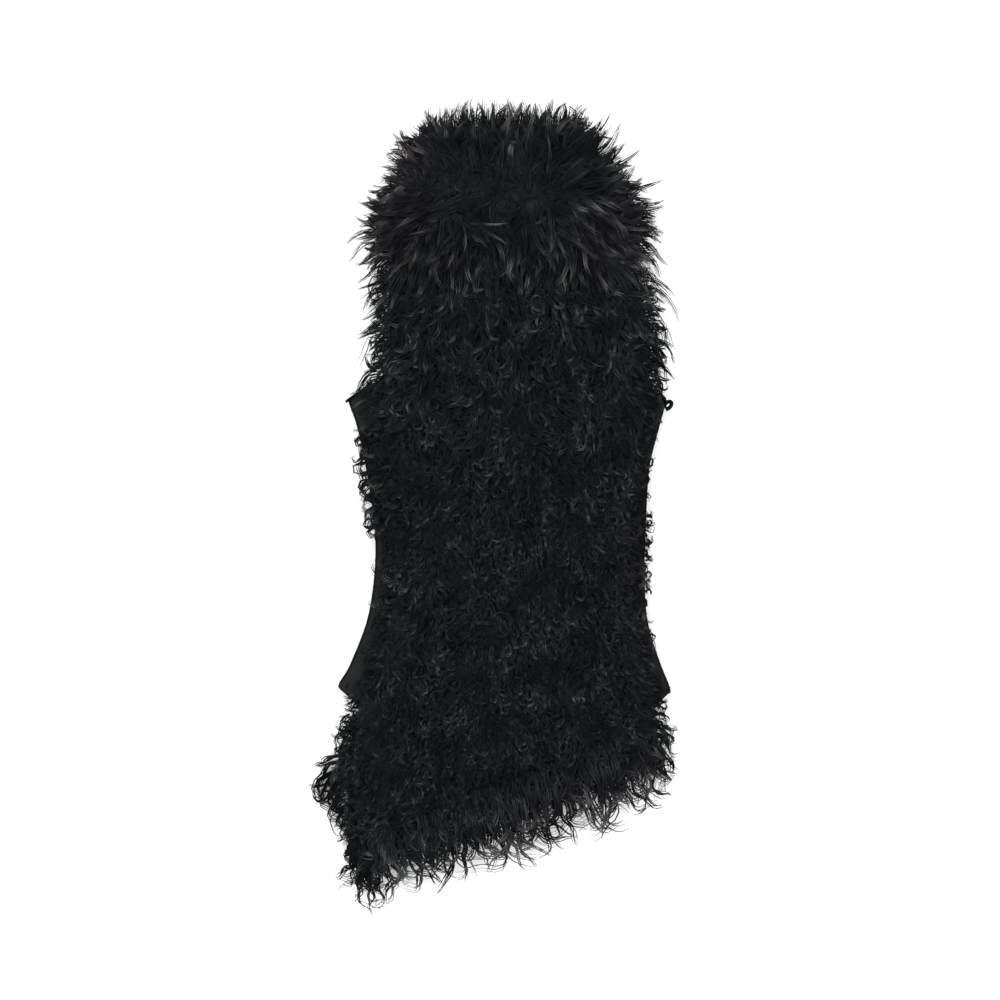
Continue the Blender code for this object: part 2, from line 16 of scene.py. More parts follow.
import bmesh
import bpy
import numpy as np
from mathutils import Vector
from mathutils.bvhtree import BVHTree
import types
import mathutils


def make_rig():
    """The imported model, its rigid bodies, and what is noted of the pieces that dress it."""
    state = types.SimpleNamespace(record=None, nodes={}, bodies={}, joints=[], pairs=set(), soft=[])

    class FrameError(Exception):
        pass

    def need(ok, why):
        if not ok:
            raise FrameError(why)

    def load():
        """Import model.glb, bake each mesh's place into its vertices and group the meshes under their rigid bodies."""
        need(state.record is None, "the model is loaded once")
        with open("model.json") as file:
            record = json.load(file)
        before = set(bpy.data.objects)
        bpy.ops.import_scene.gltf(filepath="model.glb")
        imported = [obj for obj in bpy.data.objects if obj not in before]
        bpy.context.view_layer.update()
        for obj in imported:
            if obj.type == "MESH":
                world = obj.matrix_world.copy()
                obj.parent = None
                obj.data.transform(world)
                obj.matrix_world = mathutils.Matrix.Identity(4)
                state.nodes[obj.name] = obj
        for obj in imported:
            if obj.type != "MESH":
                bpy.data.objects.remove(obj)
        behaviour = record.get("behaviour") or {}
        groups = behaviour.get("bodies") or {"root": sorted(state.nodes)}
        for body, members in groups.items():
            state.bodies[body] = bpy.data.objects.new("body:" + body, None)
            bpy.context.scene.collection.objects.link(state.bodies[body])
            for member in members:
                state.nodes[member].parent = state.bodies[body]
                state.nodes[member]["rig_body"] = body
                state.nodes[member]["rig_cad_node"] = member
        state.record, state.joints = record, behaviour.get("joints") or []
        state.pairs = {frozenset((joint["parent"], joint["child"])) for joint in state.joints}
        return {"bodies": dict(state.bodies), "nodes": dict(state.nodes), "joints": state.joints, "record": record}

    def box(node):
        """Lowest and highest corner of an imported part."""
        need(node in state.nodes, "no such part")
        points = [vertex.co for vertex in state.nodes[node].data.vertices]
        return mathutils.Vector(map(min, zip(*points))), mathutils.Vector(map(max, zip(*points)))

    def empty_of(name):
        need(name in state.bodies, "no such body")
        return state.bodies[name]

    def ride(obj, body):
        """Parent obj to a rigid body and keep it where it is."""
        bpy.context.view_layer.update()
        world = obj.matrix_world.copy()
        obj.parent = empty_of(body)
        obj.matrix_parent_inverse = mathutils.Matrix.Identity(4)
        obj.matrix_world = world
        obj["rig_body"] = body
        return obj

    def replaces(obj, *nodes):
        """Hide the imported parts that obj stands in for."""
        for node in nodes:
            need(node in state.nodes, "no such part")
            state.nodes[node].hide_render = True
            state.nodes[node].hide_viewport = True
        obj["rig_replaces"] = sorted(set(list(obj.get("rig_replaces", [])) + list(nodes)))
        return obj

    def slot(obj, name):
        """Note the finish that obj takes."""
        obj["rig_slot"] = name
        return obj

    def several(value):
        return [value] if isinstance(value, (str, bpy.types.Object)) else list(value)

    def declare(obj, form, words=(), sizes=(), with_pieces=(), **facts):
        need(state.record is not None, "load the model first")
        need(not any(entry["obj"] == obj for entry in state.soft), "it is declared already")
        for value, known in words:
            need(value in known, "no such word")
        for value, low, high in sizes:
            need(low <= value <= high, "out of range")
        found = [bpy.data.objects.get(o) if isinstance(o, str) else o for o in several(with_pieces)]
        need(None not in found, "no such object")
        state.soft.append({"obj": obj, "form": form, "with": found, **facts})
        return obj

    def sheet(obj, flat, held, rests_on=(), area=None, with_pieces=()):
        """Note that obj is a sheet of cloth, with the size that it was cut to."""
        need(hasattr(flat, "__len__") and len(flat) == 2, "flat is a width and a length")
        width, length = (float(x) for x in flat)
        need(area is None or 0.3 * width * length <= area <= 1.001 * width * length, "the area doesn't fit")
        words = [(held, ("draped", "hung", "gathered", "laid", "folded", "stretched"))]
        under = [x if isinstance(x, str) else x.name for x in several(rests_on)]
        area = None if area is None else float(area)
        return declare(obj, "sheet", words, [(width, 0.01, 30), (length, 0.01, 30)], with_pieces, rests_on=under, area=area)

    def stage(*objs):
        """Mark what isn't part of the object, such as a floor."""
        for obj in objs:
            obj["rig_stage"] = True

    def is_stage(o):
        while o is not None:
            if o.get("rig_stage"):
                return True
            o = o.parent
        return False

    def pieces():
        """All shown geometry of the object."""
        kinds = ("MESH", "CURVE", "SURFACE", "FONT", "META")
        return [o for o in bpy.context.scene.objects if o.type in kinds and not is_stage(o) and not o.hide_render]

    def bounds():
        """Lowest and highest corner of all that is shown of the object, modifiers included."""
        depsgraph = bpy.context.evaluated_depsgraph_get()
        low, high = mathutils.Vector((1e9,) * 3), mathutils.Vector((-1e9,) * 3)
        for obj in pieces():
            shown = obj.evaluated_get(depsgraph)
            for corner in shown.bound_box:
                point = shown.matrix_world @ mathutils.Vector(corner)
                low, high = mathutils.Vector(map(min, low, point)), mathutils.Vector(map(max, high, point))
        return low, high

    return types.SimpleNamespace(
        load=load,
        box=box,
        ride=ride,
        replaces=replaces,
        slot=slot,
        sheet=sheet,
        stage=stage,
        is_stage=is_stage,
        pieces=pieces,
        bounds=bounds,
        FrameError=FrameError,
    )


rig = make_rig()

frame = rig.load()
CAD_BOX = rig.bounds()
LOG = logging.getLogger("shearling_vest")

Array = np.ndarray
Colour = tuple[float, float, float, float]
Socket = bpy.types.NodeSocket
Material = bpy.types.Material
Piece = bpy.types.Object

BODY = "root"
SIZE_FILE = Path("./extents.json")
WHITE: Colour = (1.0, 1.0, 1.0, 1.0)
UP = np.array([0.0, 0.0, 1.0])
TO_HEM = np.array([0.0, -1.0])
CLEAR_OF_FLOOR = 0.0012
CEILING = 0.090


class Slot(Enum):
    """Material slots of the record."""

    WOOL = "black_long_wool"
    CLOTH = "black_stretch_cloth"
    BINDING = "black_binding"


class Facing(Enum):
    """Which way a panel's wool looks, as a sign on +Z."""

    UP = 1
    DOWN = -1


class Side(Enum):
    """A side of the laid front, as a sign on +X."""

    LEFT = -1
    RIGHT = 1

    @property
    def word(self) -> str:
        """The side's name as the part's nodes spell it."""
        return self.name.lower()


# Finishes


class Shader:
    """A material's node tree with a Principled surface, filled in by short calls."""

    def __init__(self, name: str) -> None:
        """Start a material with an empty Principled surface.

        Args:
            name: the material's name.
        """
        self.material = bpy.data.materials.new(name)
        self.material.use_nodes = True
        self.tree = self.material.node_tree
        self.surface = self.tree.nodes["Principled BSDF"]

    def node(self, kind: str, settings: Optional[dict[str, Any]] = None, **inputs: Any) -> bpy.types.Node:
        """Add a node.

        Args:
            kind: the node's Blender type.
            settings: properties of the node itself.
            inputs: values or links for its sockets, with _ for a space in a socket's name.

        Returns:
            The new node.
        """
        made = self.tree.nodes.new(kind)
        for key, value in (settings or {}).items():
            setattr(made, key, value)
        for key, value in inputs.items():
            self.put(made.inputs[key.replace("_", " ")], value)
        return made

    def put(self, socket: Socket, value: Any) -> None:
        """Set a socket to a value, or link it to another socket.

        Args:
            socket: the input to fill.
            value: a constant or an output socket.
        """
        if isinstance(value, Socket):
            self.tree.links.new(value, socket)
        else:
            socket.default_value = value

    def principled(self, **inputs: Any) -> Material:
        """Fill the Principled surface.

        Args:
            inputs: values or links, with _ for a space in a socket's name.

        Returns:
            The finished material.
        """
        for key, value in inputs.items():
            self.put(self.surface.inputs[key.replace("_", " ")], value)
        return self.material

    def ramp(self, factor: Any, stops: Sequence[tuple[float, Colour]]) -> Socket:
        """Colour by a factor.

        Args:
            factor: the socket that drives the ramp.
            stops: places and colours.

        Returns:
            The ramp's colour output.
        """
        made = self.node("ShaderNodeValToRGB", Fac=factor)
        while len(made.color_ramp.elements) < len(stops):
            made.color_ramp.elements.new(1.0)
        for element, (place, colour) in zip(made.color_ramp.elements, stops):
            element.position = place
            element.color = colour
        return made.outputs["Color"]

    def math(self, operation: str, first: Any, second: Any) -> Socket:
        """Join two numbers.

        Args:
            operation: Blender's name of the operation.
            first: a number or socket.
            second: a number or socket.

        Returns:
            The result's socket.
        """
        made = self.node("ShaderNodeMath", {"operation": operation})
        self.put(made.inputs[0], first)
        self.put(made.inputs[1], second)
        return made.outputs[0]

    def times(self, first: Socket, second: Socket) -> Socket:
        """Multiply two colours.

        Args:
            first: a colour's socket.
            second: a colour's socket.

        Returns:
            The product's socket.
        """
        made = self.node("ShaderNodeMix", {"data_type": "RGBA", "blend_type": "MULTIPLY"})
        made.inputs[0].default_value = 1.0
        self.put(made.inputs[6], first)
        self.put(made.inputs[7], second)
        return made.outputs[2]

    def attribute(self, name: str) -> Socket:
        """The factor of one of the mesh's own attributes."""
        return self.node("ShaderNodeAttribute", {"attribute_name": name}).outputs["Fac"]

    def place(self) -> Socket:
        """Object coordinates, which are the part's own metres."""
        return self.node("ShaderNodeTexCoord").outputs["Object"]

    def noise(self, place: Socket, scale: float, detail: float, distortion: float = 0.0) -> Socket:
        """The factor of a noise texture at a place, of a fineness and detail, stirred by a distortion."""
        return self.node("ShaderNodeTexNoise", Vector=place, Scale=scale, Detail=detail,
                         Distortion=distortion).outputs["Fac"]

    def bands(self, place: Socket, axis: str, rate: float, distortion: float) -> Socket:
        """The factor of soft bands that follow each other along an axis, as close as a rate says."""
        return self.node("ShaderNodeTexWave", {"bands_direction": axis}, Vector=place, Scale=rate / math.tau,
                         Distortion=distortion, Detail=1.0).outputs["Fac"]

    def bump(self, strength: float, distance: float, height: Socket) -> Socket:
        """The normal as a height tilts it, for a relief of a distance."""
        return self.node("ShaderNodeBump", Strength=strength, Distance=distance, Height=height).outputs["Normal"]


def grey(level: float) -> Colour:
    """A grey as a colour."""
    return (level, level, level, 1.0)


@dataclass(frozen=True)
class WoolFinish:
    """Dyed-black long wool: near black, with a painted highlight, a cool light band past the middle of the lighter
    strands.

    Attributes:
        name: the material's name.
        shade: colour of the darkest wool.
        body: colour of most of it.
        lifted: colour towards the painted highlight band.
        light: colour of the painted highlight band.
        stops: lifts at which these four colours are reached.
        crown: the painted highlight band along a strand, as shares of the length and brightnesses.
        root_fade: how many times lighter a strand is at its root, as painted fill light in the shade deep in the pile.
        cool_cast: tint of the cool patches.
        warm_cast: tint of the warm ones.
        cast_scale: how small these patches are.
        dark_patch: shade of the darker drifts.
        light_patch: shade of the lighter ones.
        patch_scale: how small these drifts are.
        streaks: rates of the streaks across a strand, along it and from strand to strand.
        streak_lift: the painted highlight's strength without a streak and what a streak adds.
        roughness: roughness of the surface.
        gloss: its specular level.
        evenness: how far a strand's normal is drawn towards the pile's.
    """

    name: str = "dyed_black_wool"
    shade: Colour = (0.0030, 0.0038, 0.0044, 1.0)
    body: Colour = (0.0049, 0.0059, 0.0066, 1.0)
    lifted: Colour = (0.0200, 0.0222, 0.0232, 1.0)
    light: Colour = (0.0405, 0.0438, 0.0457, 1.0)
    stops: tuple[float, float, float, float] = (0.0, 0.22, 0.50, 0.90)
    crown: tuple[tuple[float, float], ...] = ((0.0, 0.0), (0.40, 0.12), (0.63, 1.0), (0.88, 0.35))
    root_fade: float = 4.4
    cool_cast: Colour = (0.92, 1.03, 1.03, 1.0)
    warm_cast: Colour = (1.05, 0.98, 1.01, 1.0)
    cast_scale: float = 7.0
    dark_patch: Colour = (0.50, 0.53, 0.55, 1.0)
    light_patch: Colour = (1.44, 1.44, 1.42, 1.0)
    patch_scale: float = 32.0
    streaks: tuple[float, float, float] = (1.1, 2.0, 190.0)
    streak_lift: tuple[float, float] = (0.35, 1.3)
    roughness: float = 0.50
    gloss: float = 0.04
    evenness: float = 0.72

    def material(self) -> Material:
        """Build the finish.

        Returns:
            The wool's material.
        """
        shader = Shader(self.name)
        across, along, tone = (shader.attribute(name) for name in ("across", "along", "tone"))
        # Painted highlight: a light band along each strand, as strong as the strand's tone and streaks make it.
        crown = shader.ramp(along, tuple((share, grey(bright)) for share, bright in self.crown))
        fibres = shader.node("ShaderNodeCombineXYZ", **{
            axis: shader.math("MULTIPLY", value, rate)
            for axis, value, rate in zip("XYZ", (across, along, tone), self.streaks)})
        streak = shader.noise(fibres.outputs["Vector"], 1.0, 1.0)
        plain, added = self.streak_lift
        painted_lift = shader.math("MULTIPLY", shader.math("MULTIPLY", crown, tone),
                           shader.math("ADD", plain, shader.math("MULTIPLY", streak, added)))
        fibre_and_highlight = shader.ramp(painted_lift, tuple(zip(self.stops, (self.shade, self.body, self.lifted, self.light))))
        # Painted fill light: the roots are made lighter so that the shade between the locks is not black.
        painted_root_fill = shader.ramp(along, ((0.05, grey(self.root_fade)), (0.45, WHITE)))
        casts = shader.noise(shader.place(), self.cast_scale, 2.0)
        cast = shader.ramp(casts, ((0.34, self.cool_cast), (0.50, WHITE), (0.66, self.warm_cast)))
        drifts = shader.noise(shader.place(), self.patch_scale, 2.0)
        patch = shader.ramp(drifts, ((0.40, self.dark_patch), (0.60, self.light_patch)))
        # The dyed colour with its painted highlight, painted root fill, random tints and drifts.
        dye_and_painted_light = shader.times(shader.times(shader.times(fibre_and_highlight, cast), painted_root_fill), patch)
        return shader.principled(Base_Color=dye_and_painted_light, Roughness=self.roughness, Specular_IOR_Level=self.gloss,
                                 Normal=self.softened(shader))

    def softened(self, shader: Shader) -> Socket:
        """A strand's normal drawn towards the pile's, as light scattered among the fibres evens its shading.

        Args:
            shader: the material's node tree.

        Returns:
            The normal's socket.
        """
        normal = shader.node("ShaderNodeNewGeometry").outputs["Normal"]
        share = self.evenness
        mixed = shader.node("ShaderNodeVectorMath", {"operation": "MULTIPLY_ADD"})
        for socket, value in zip(mixed.inputs, (normal, (1.0 - share,) * 3, (0.0, 0.0, share))):
            shader.put(socket, value)
        upright = shader.node("ShaderNodeVectorMath", {"operation": "NORMALIZE"})
        shader.put(upright.inputs[0], mixed.outputs[0])
        return upright.outputs[0]


@dataclass(frozen=True)
class SkinFinish:
    """The hide with its dense crimped underwool, seen only as dark depth between the locks; its colour is a little
    lighter than the wool's, as painted fill light in that depth.

    Attributes:
        name: the material's name.
        dark: colour in the crimp's hollows.
        light: colour on its ridges.
        crimp: how fine the crimp is.
        depth: relief of the crimp.
    """

    name: str = "dense_underwool"
    # Painted fill light: these colours are kept lighter than the wool so that the depth between the locks is not
    # black.
    dark: Colour = (0.0050, 0.0060, 0.0068, 1.0)
    light: Colour = (0.0096, 0.0112, 0.0124, 1.0)
    crimp: float = 160.0
    depth: float = 0.004

    def material(self) -> Material:
        """Build the finish.

        Returns:
            The underwool's material.
        """
        shader = Shader(self.name)
        crimp = shader.noise(shader.place(), self.crimp, 4.0, distortion=1.6)
        shade = shader.ramp(crimp, ((0.35, self.dark), (0.70, self.light)))
        return shader.principled(Base_Color=shade, Roughness=0.85, Specular_IOR_Level=0.2,
                                 Normal=shader.bump(0.9, self.depth, crimp))


@dataclass(frozen=True)
class StretchFinish:
    """Matte fine-knit stretch cloth: rows of tiny stitches with a dusty sheen, and painted shade along its folds and
    edges.

    Attributes:
        name: the material's name.
        valley: colour between the stitches.
        rib: colour on them.
        edge: painted shade along the folds and edges.
        edge_width: width of that painted shade.
        wales: how close the stitches lie across the cloth.
        courses: how close they lie along it.
        depth: relief of the stitches.
        sheen: weight of the sheen.
    """

    name: str = "matte_stretch_cloth"
    valley: Colour = (0.0108, 0.0120, 0.0124, 1.0)
    rib: Colour = (0.0146, 0.0160, 0.0164, 1.0)
    edge: Colour = (0.22, 0.22, 0.22, 1.0)
    edge_width: float = 0.0024
    wales: float = 620.0
    courses: float = 470.0
    depth: float = 0.0003
    sheen: float = 0.02

    def material(self) -> Material:
        """Build the finish.

        Returns:
            The side cloth's material.
        """
        shader = Shader(self.name)
        place = shader.place()
        stitch = shader.math("MULTIPLY", shader.bands(place, "X", self.wales, 0.6),
                             shader.bands(place, "Y", self.courses, 0.6))
        dust = shader.noise(place, 40.0, 5.0)
        tone = shader.math("ADD", shader.math("MULTIPLY", stitch, 0.6), shader.math("MULTIPLY", dust, 0.5))
        shade = shader.ramp(tone, ((0.15, self.valley), (0.85, self.rib)))
        # Painted shade: a dark line along the folds and edges, where the rolled cloth turns away from the light.
        inset = shader.math("DIVIDE", shader.attribute("inset"), self.edge_width)
        fold_shaded = shader.times(shade, shader.ramp(inset, ((0.45, self.edge), (1.0, WHITE))))
        return shader.principled(Base_Color=fold_shaded, Roughness=0.82, Specular_IOR_Level=0.08, Sheen_Weight=self.sheen,
                                 Sheen_Roughness=0.5, Normal=shader.bump(0.5, self.depth, stitch))


@dataclass(frozen=True)
class BindingFinish:
    """Rolled jersey binding with a fine slanting twist.

    Attributes:
        name: the material's name.
        dark: colour in the twist's hollows.
        light: colour on its ridges.
        twist: how close the twist's ridges lie.
        slant: turn of the twist about the three axes, in radians.
        depth: relief of the twist.
    """

    name: str = "rolled_binding"
    dark: Colour = (0.0010, 0.0011, 0.0012, 1.0)
    light: Colour = (0.0030, 0.0032, 0.0034, 1.0)
    twist: float = 900.0
    slant: tuple[float, float, float] = (0.4, 0.5, 0.7)
    depth: float = 0.0003

    def material(self) -> Material:
        """Build the finish.

        Returns:
            The binding's material.
        """
        shader = Shader(self.name)
        slanted = shader.node("ShaderNodeMapping", Vector=shader.place(), Rotation=self.slant)
        twist = shader.bands(slanted.outputs["Vector"], "X", self.twist, 1.0)
        shade = shader.ramp(twist, ((0.1, self.dark), (0.9, self.light)))
        return shader.principled(Base_Color=shade, Roughness=0.7, Specular_IOR_Level=0.06,
                                 Normal=shader.bump(0.6, self.depth, twist))


@dataclass(frozen=True)
class PaperFinish:
    """The studio's plain white sweep.

    Attributes:
        name: the material's name.
        white: its colour.
    """

    name: str = "white_sweep"
    white: Colour = (0.92, 0.92, 0.92, 1.0)

    def material(self) -> Material:
        """The floor's material."""
        return Shader(self.name).principled(Base_Color=self.white, Roughness=0.9, Specular_IOR_Level=0.0)


# Helpers for meshes and fields


def unit(vectors: Array) -> Array:
    """Vectors along the last axis at length 1."""
    return vectors / np.maximum(np.linalg.norm(vectors, axis=-1, keepdims=True), 1e-9)


def soft_step(share: Array) -> Array:
    """An eased step from 0 to 1."""
    share = np.clip(share, 0.0, 1.0)
    return share * share * (3.0 - 2.0 * share)


def turned(vectors: Array, angle: Array) -> Array:
    """Vectors after a turn about the plumb line.

    Args:
        vectors: directions in space.
        angle: one turn for each, in radians.

    Returns:
        The turned directions.
    """
    across = vectors[..., 0] * np.cos(angle) - vectors[..., 1] * np.sin(angle)
    along = vectors[..., 0] * np.sin(angle) + vectors[..., 1] * np.cos(angle)
    return np.stack([across, along, np.broadcast_to(vectors[..., 2], across.shape)], axis=-1)


def towards(angle: Array) -> Array:
    """Unit directions in plan at angles from +X."""
    return np.stack([np.cos(angle), np.sin(angle)], axis=1)


def in_space(plan: Array) -> Array:
    """Plan vectors as level vectors in space."""
    return np.concatenate([plan, np.zeros((len(plan), 1))], axis=1)


def take(piece: Piece, slot: Slot, material: Material, stands_for: Sequence[str] = ()) -> Piece:
    """Give a finished piece its body, slot, finish and the nodes that it stands for.

    Args:
        piece: the finished piece, at the origin.
        slot: the record's slot of its finish.
        material: its finish.
        stands_for: nodes that it replaces.

    Returns:
        The same piece.
    """
    piece.data.materials.clear()
    piece.data.materials.append(material)
    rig.ride(piece, BODY)
    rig.slot(piece, slot.value)
    if stands_for:
        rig.replaces(piece, *stands_for)
    LOG.info("%s: %d triangles", piece.name, sum(len(face.vertices) - 2 for face in piece.data.polygons))
    return piece


def add_piece(name: str, mesh: bpy.types.Mesh) -> Piece:
    """Link a mesh into the scene as the only selected object.

    Args:
        name: the piece's name.
        mesh: its mesh.

    Returns:
        The new object.
    """
    bpy.ops.object.select_all(action="DESELECT")
    piece = bpy.data.objects.new(name, mesh)
    bpy.context.scene.collection.objects.link(piece)
    piece.select_set(True)
    bpy.context.view_layer.objects.active = piece
    return piece


@contextmanager
def all_selected() -> Iterator[None]:
    """Edit the active piece with all of it selected.

    Yields:
        Nothing, while edit mode is on.
    """
    bpy.ops.object.mode_set(mode="EDIT")
    bpy.ops.mesh.select_all(action="SELECT")
    yield
    bpy.ops.object.mode_set(mode="OBJECT")


def copy_of_solid(node: str, name: str) -> Piece:
    """A merged copy of a node's mesh as a new piece.

    Args:
        node: the part's node.
        name: the new piece's name.

    Returns:
        The copy.
    """
    piece = add_piece(name, frame["nodes"][node].data.copy())
    with all_selected():
        bpy.ops.mesh.remove_doubles(threshold=1e-5)
    return piece


def points_of(piece: Piece) -> Array:
    """Read a piece's points.

    Args:
        piece: the piece.

    Returns:
        One row a point.
    """
    flat = np.empty(len(piece.data.vertices) * 3)
    piece.data.vertices.foreach_get("co", flat)
    return flat.reshape(-1, 3)


def move_points(piece: Piece, places: Array) -> None:
    """Put the piece's points at new places."""
    piece.data.vertices.foreach_set("co", places.astype(np.float32).ravel())
    piece.data.update()


class Swirl:
    """A smooth random field over the plan, from a few long waves."""

    def __init__(self, seed: int, shortest: float, longest: float, waves: int = 9) -> None:
        """Draw the waves.

        Args:
            seed: fixes the draw.
            shortest: the shortest wavelength.
            longest: the longest wavelength.
            waves: how many there are.
        """
        chance = np.random.default_rng(seed)
        headings = chance.uniform(0.0, math.tau, waves)
        pitches = math.tau / chance.uniform(shortest, longest, waves)
        self.rates = pitches[:, None] * towards(headings)
        self.shifts = chance.uniform(0.0, math.tau, waves)

    def at(self, plan: Array) -> Array:
        """The field at points in plan, roughly between -1 and 1."""
        waves = np.sin(plan @ self.rates.T + self.shifts)
        return waves.sum(axis=1) / math.sqrt(2.0 * len(self.shifts))


@dataclass
class Relief:
    """The wool face of a solid, read on an even grid of plumb lines.

    Attributes:
        nodes: the part's nodes that are read together.
        facing: the face that is read.
        pitch: spacing of the plumb lines.
        margin: how far the grid reaches past the solid.
        softness: width over which the outline is blurred to find its outward direction.
        across: the grid's places across the garment.
        along: its places along the garment.
        inside: which plumb lines meet the solid.
        height: the face's height on each, a little blurred.
        cover: the blurred share of the solid round each.
    """

    SHAKE = 0.42

    nodes: tuple[str, ...]
    facing: Facing = Facing.UP
    pitch: float = 0.003
    margin: float = 0.03
    softness: float = 0.024
    across: Array = field(init=False)
    along: Array = field(init=False)
    inside: Array = field(init=False)
    height: Array = field(init=False)
    cover: Array = field(init=False)

    def __post_init__(self) -> None:
        """Drop the plumb lines."""
        corners: list[Vector] = []
        faces: list[tuple[int, ...]] = []
        for node in self.nodes:
            mesh, first = frame["nodes"][node].data, len(corners)
            corners += [vert.co.copy() for vert in mesh.vertices]
            faces += [tuple(first + index for index in face.vertices) for face in mesh.polygons]
        places = np.array(corners)
        low, high = places.min(axis=0) - self.margin, places.max(axis=0) + self.margin
        self.across = np.arange(low[0], high[0], self.pitch)
        self.along = np.arange(low[1], high[1], self.pitch)
        tree = BVHTree.FromPolygons(corners, faces)
        start = float(high[2] if self.facing is Facing.UP else low[2])
        line = Vector((0.0, 0.0, -float(self.facing.value)))
        heights = np.full((len(self.along), len(self.across)), np.nan)
        for row, y in enumerate(self.along):
            for column, x in enumerate(self.across):
                hit = tree.ray_cast(Vector((x, y, start)), line)[0]
                if hit is not None:
                    heights[row, column] = hit.z
        self.inside = ~np.isnan(heights)
        rim = np.nanmin(heights) if self.facing is Facing.UP else np.nanmax(heights)
        self.height = self.blurred(np.where(self.inside, heights, rim), 2)
        self.cover = self.blurred(self.inside.astype(float), round(self.softness / self.pitch))

    @property
    def area(self) -> float:
        """The face's area in plan."""
        return float(self.inside.sum() * self.pitch**2)

    @staticmethod
    def blurred(grid: Array, reach: int) -> Array:
        """A grid after two box blurs each way.

        Args:
            grid: the values.
            reach: half the box, in steps.

        Returns:
            The blurred values.
        """
        box = np.ones(2 * reach + 1) / (2 * reach + 1)
        padded = np.pad(grid, 2 * reach, mode="edge")
        for axis in (0, 1, 0, 1):
            padded = np.apply_along_axis(lambda line: np.convolve(line, box, mode="same"), axis, padded)
        return padded[2 * reach:-2 * reach, 2 * reach:-2 * reach]

    def read(self, grid: Array, plan: Array) -> Array:
        """Read a grid between its plumb lines.

        Args:
            grid: one of this relief's grids.
            plan: points in plan.

        Returns:
            One value a point.
        """
        column = np.clip((plan[:, 0] - self.across[0]) / self.pitch, 0, len(self.across) - 1.001)
        row = np.clip((plan[:, 1] - self.along[0]) / self.pitch, 0, len(self.along) - 1.001)
        i, j = row.astype(int), column.astype(int)
        s, t = row - i, column - j
        low = grid[i, j] * (1 - t) + grid[i, j + 1] * t
        high = grid[i + 1, j] * (1 - t) + grid[i + 1, j + 1] * t
        return low * (1 - s) + high * s

    def slope(self, grid: Array, plan: Array) -> Array:
        """The gradient of a grid.

        Args:
            grid: one of this relief's grids.
            plan: points in plan.

        Returns:
            One gradient in plan a point.
        """
        step = 2.0 * self.pitch
        rises = []
        for shift in (np.array([step, 0.0]), np.array([0.0, step])):
            rises.append((self.read(grid, plan + shift) - self.read(grid, plan - shift)) / (2.0 * step))
        return np.stack(rises, axis=1)

    def outwards(self, plan: Array) -> Array:
        """Directions in plan towards the nearest rim."""
        return unit(-self.slope(self.cover, plan))

    def nearness(self, plan: Array) -> Array:
        """How near points are to the rim: 1 on it, 0 well inside."""
        return np.clip(2.0 * (1.0 - self.read(self.cover, plan)), 0.0, 1.0)

    def on_face(self, plan: Array, above: Any = 0.0) -> Array:
        """Points of the face at points in plan, raised by one height or by one each."""
        return np.column_stack([plan, self.read(self.height, plan) + above])

    def edge_of(self, filled: Array) -> Array:
        """The plumb lines at the edge of a mask.

        Args:
            filled: a mask on the grid.

        Returns:
            Points in plan.
        """
        inner = filled.copy()
        for axis in (0, 1):
            for shift in (-1, 1):
                inner &= np.roll(filled, shift, axis)
        rows, columns = np.nonzero(filled & ~inner)
        return np.stack([self.across[columns], self.along[rows]], axis=1)

    def scatter(self, spacing: float, chance: np.random.Generator) -> Array:
        """Points all over the face, in staggered and shaken rows.

        Args:
            spacing: distance between neighbours.
            chance: the draw.

        Returns:
            Points in plan.
        """
        rows = np.arange(self.along[0], self.along[-1], spacing * math.sqrt(0.75))
        columns = np.arange(self.across[0], self.across[-1], spacing)
        plan = np.stack(np.meshgrid(columns, rows), axis=-1)
        plan[1::2, :, 0] += spacing / 2.0
        plan = plan.reshape(-1, 2) + chance.uniform(-self.SHAKE, self.SHAKE, (plan.size // 2, 2)) * spacing
        return plan[self.read(self.inside.astype(float), plan) > 0.5]

    def rim(self, spacing: float, inset: float, chance: np.random.Generator) -> Array:
        """Points along the rim.

        Args:
            spacing: distance between neighbours.
            inset: how far they lie inside it.
            chance: the draw.

        Returns:
            Points in plan.
        """
        edge = self.edge_of(self.inside)
        edge = edge[chance.permutation(len(edge))]
        kept: list[Array] = []
        for place in edge:
            if all(abs(place - other).max() > spacing or np.hypot(*(place - other)) > spacing for other in kept):
                kept.append(place)
        plan = np.array(kept)
        return plan - self.outwards(plan) * inset


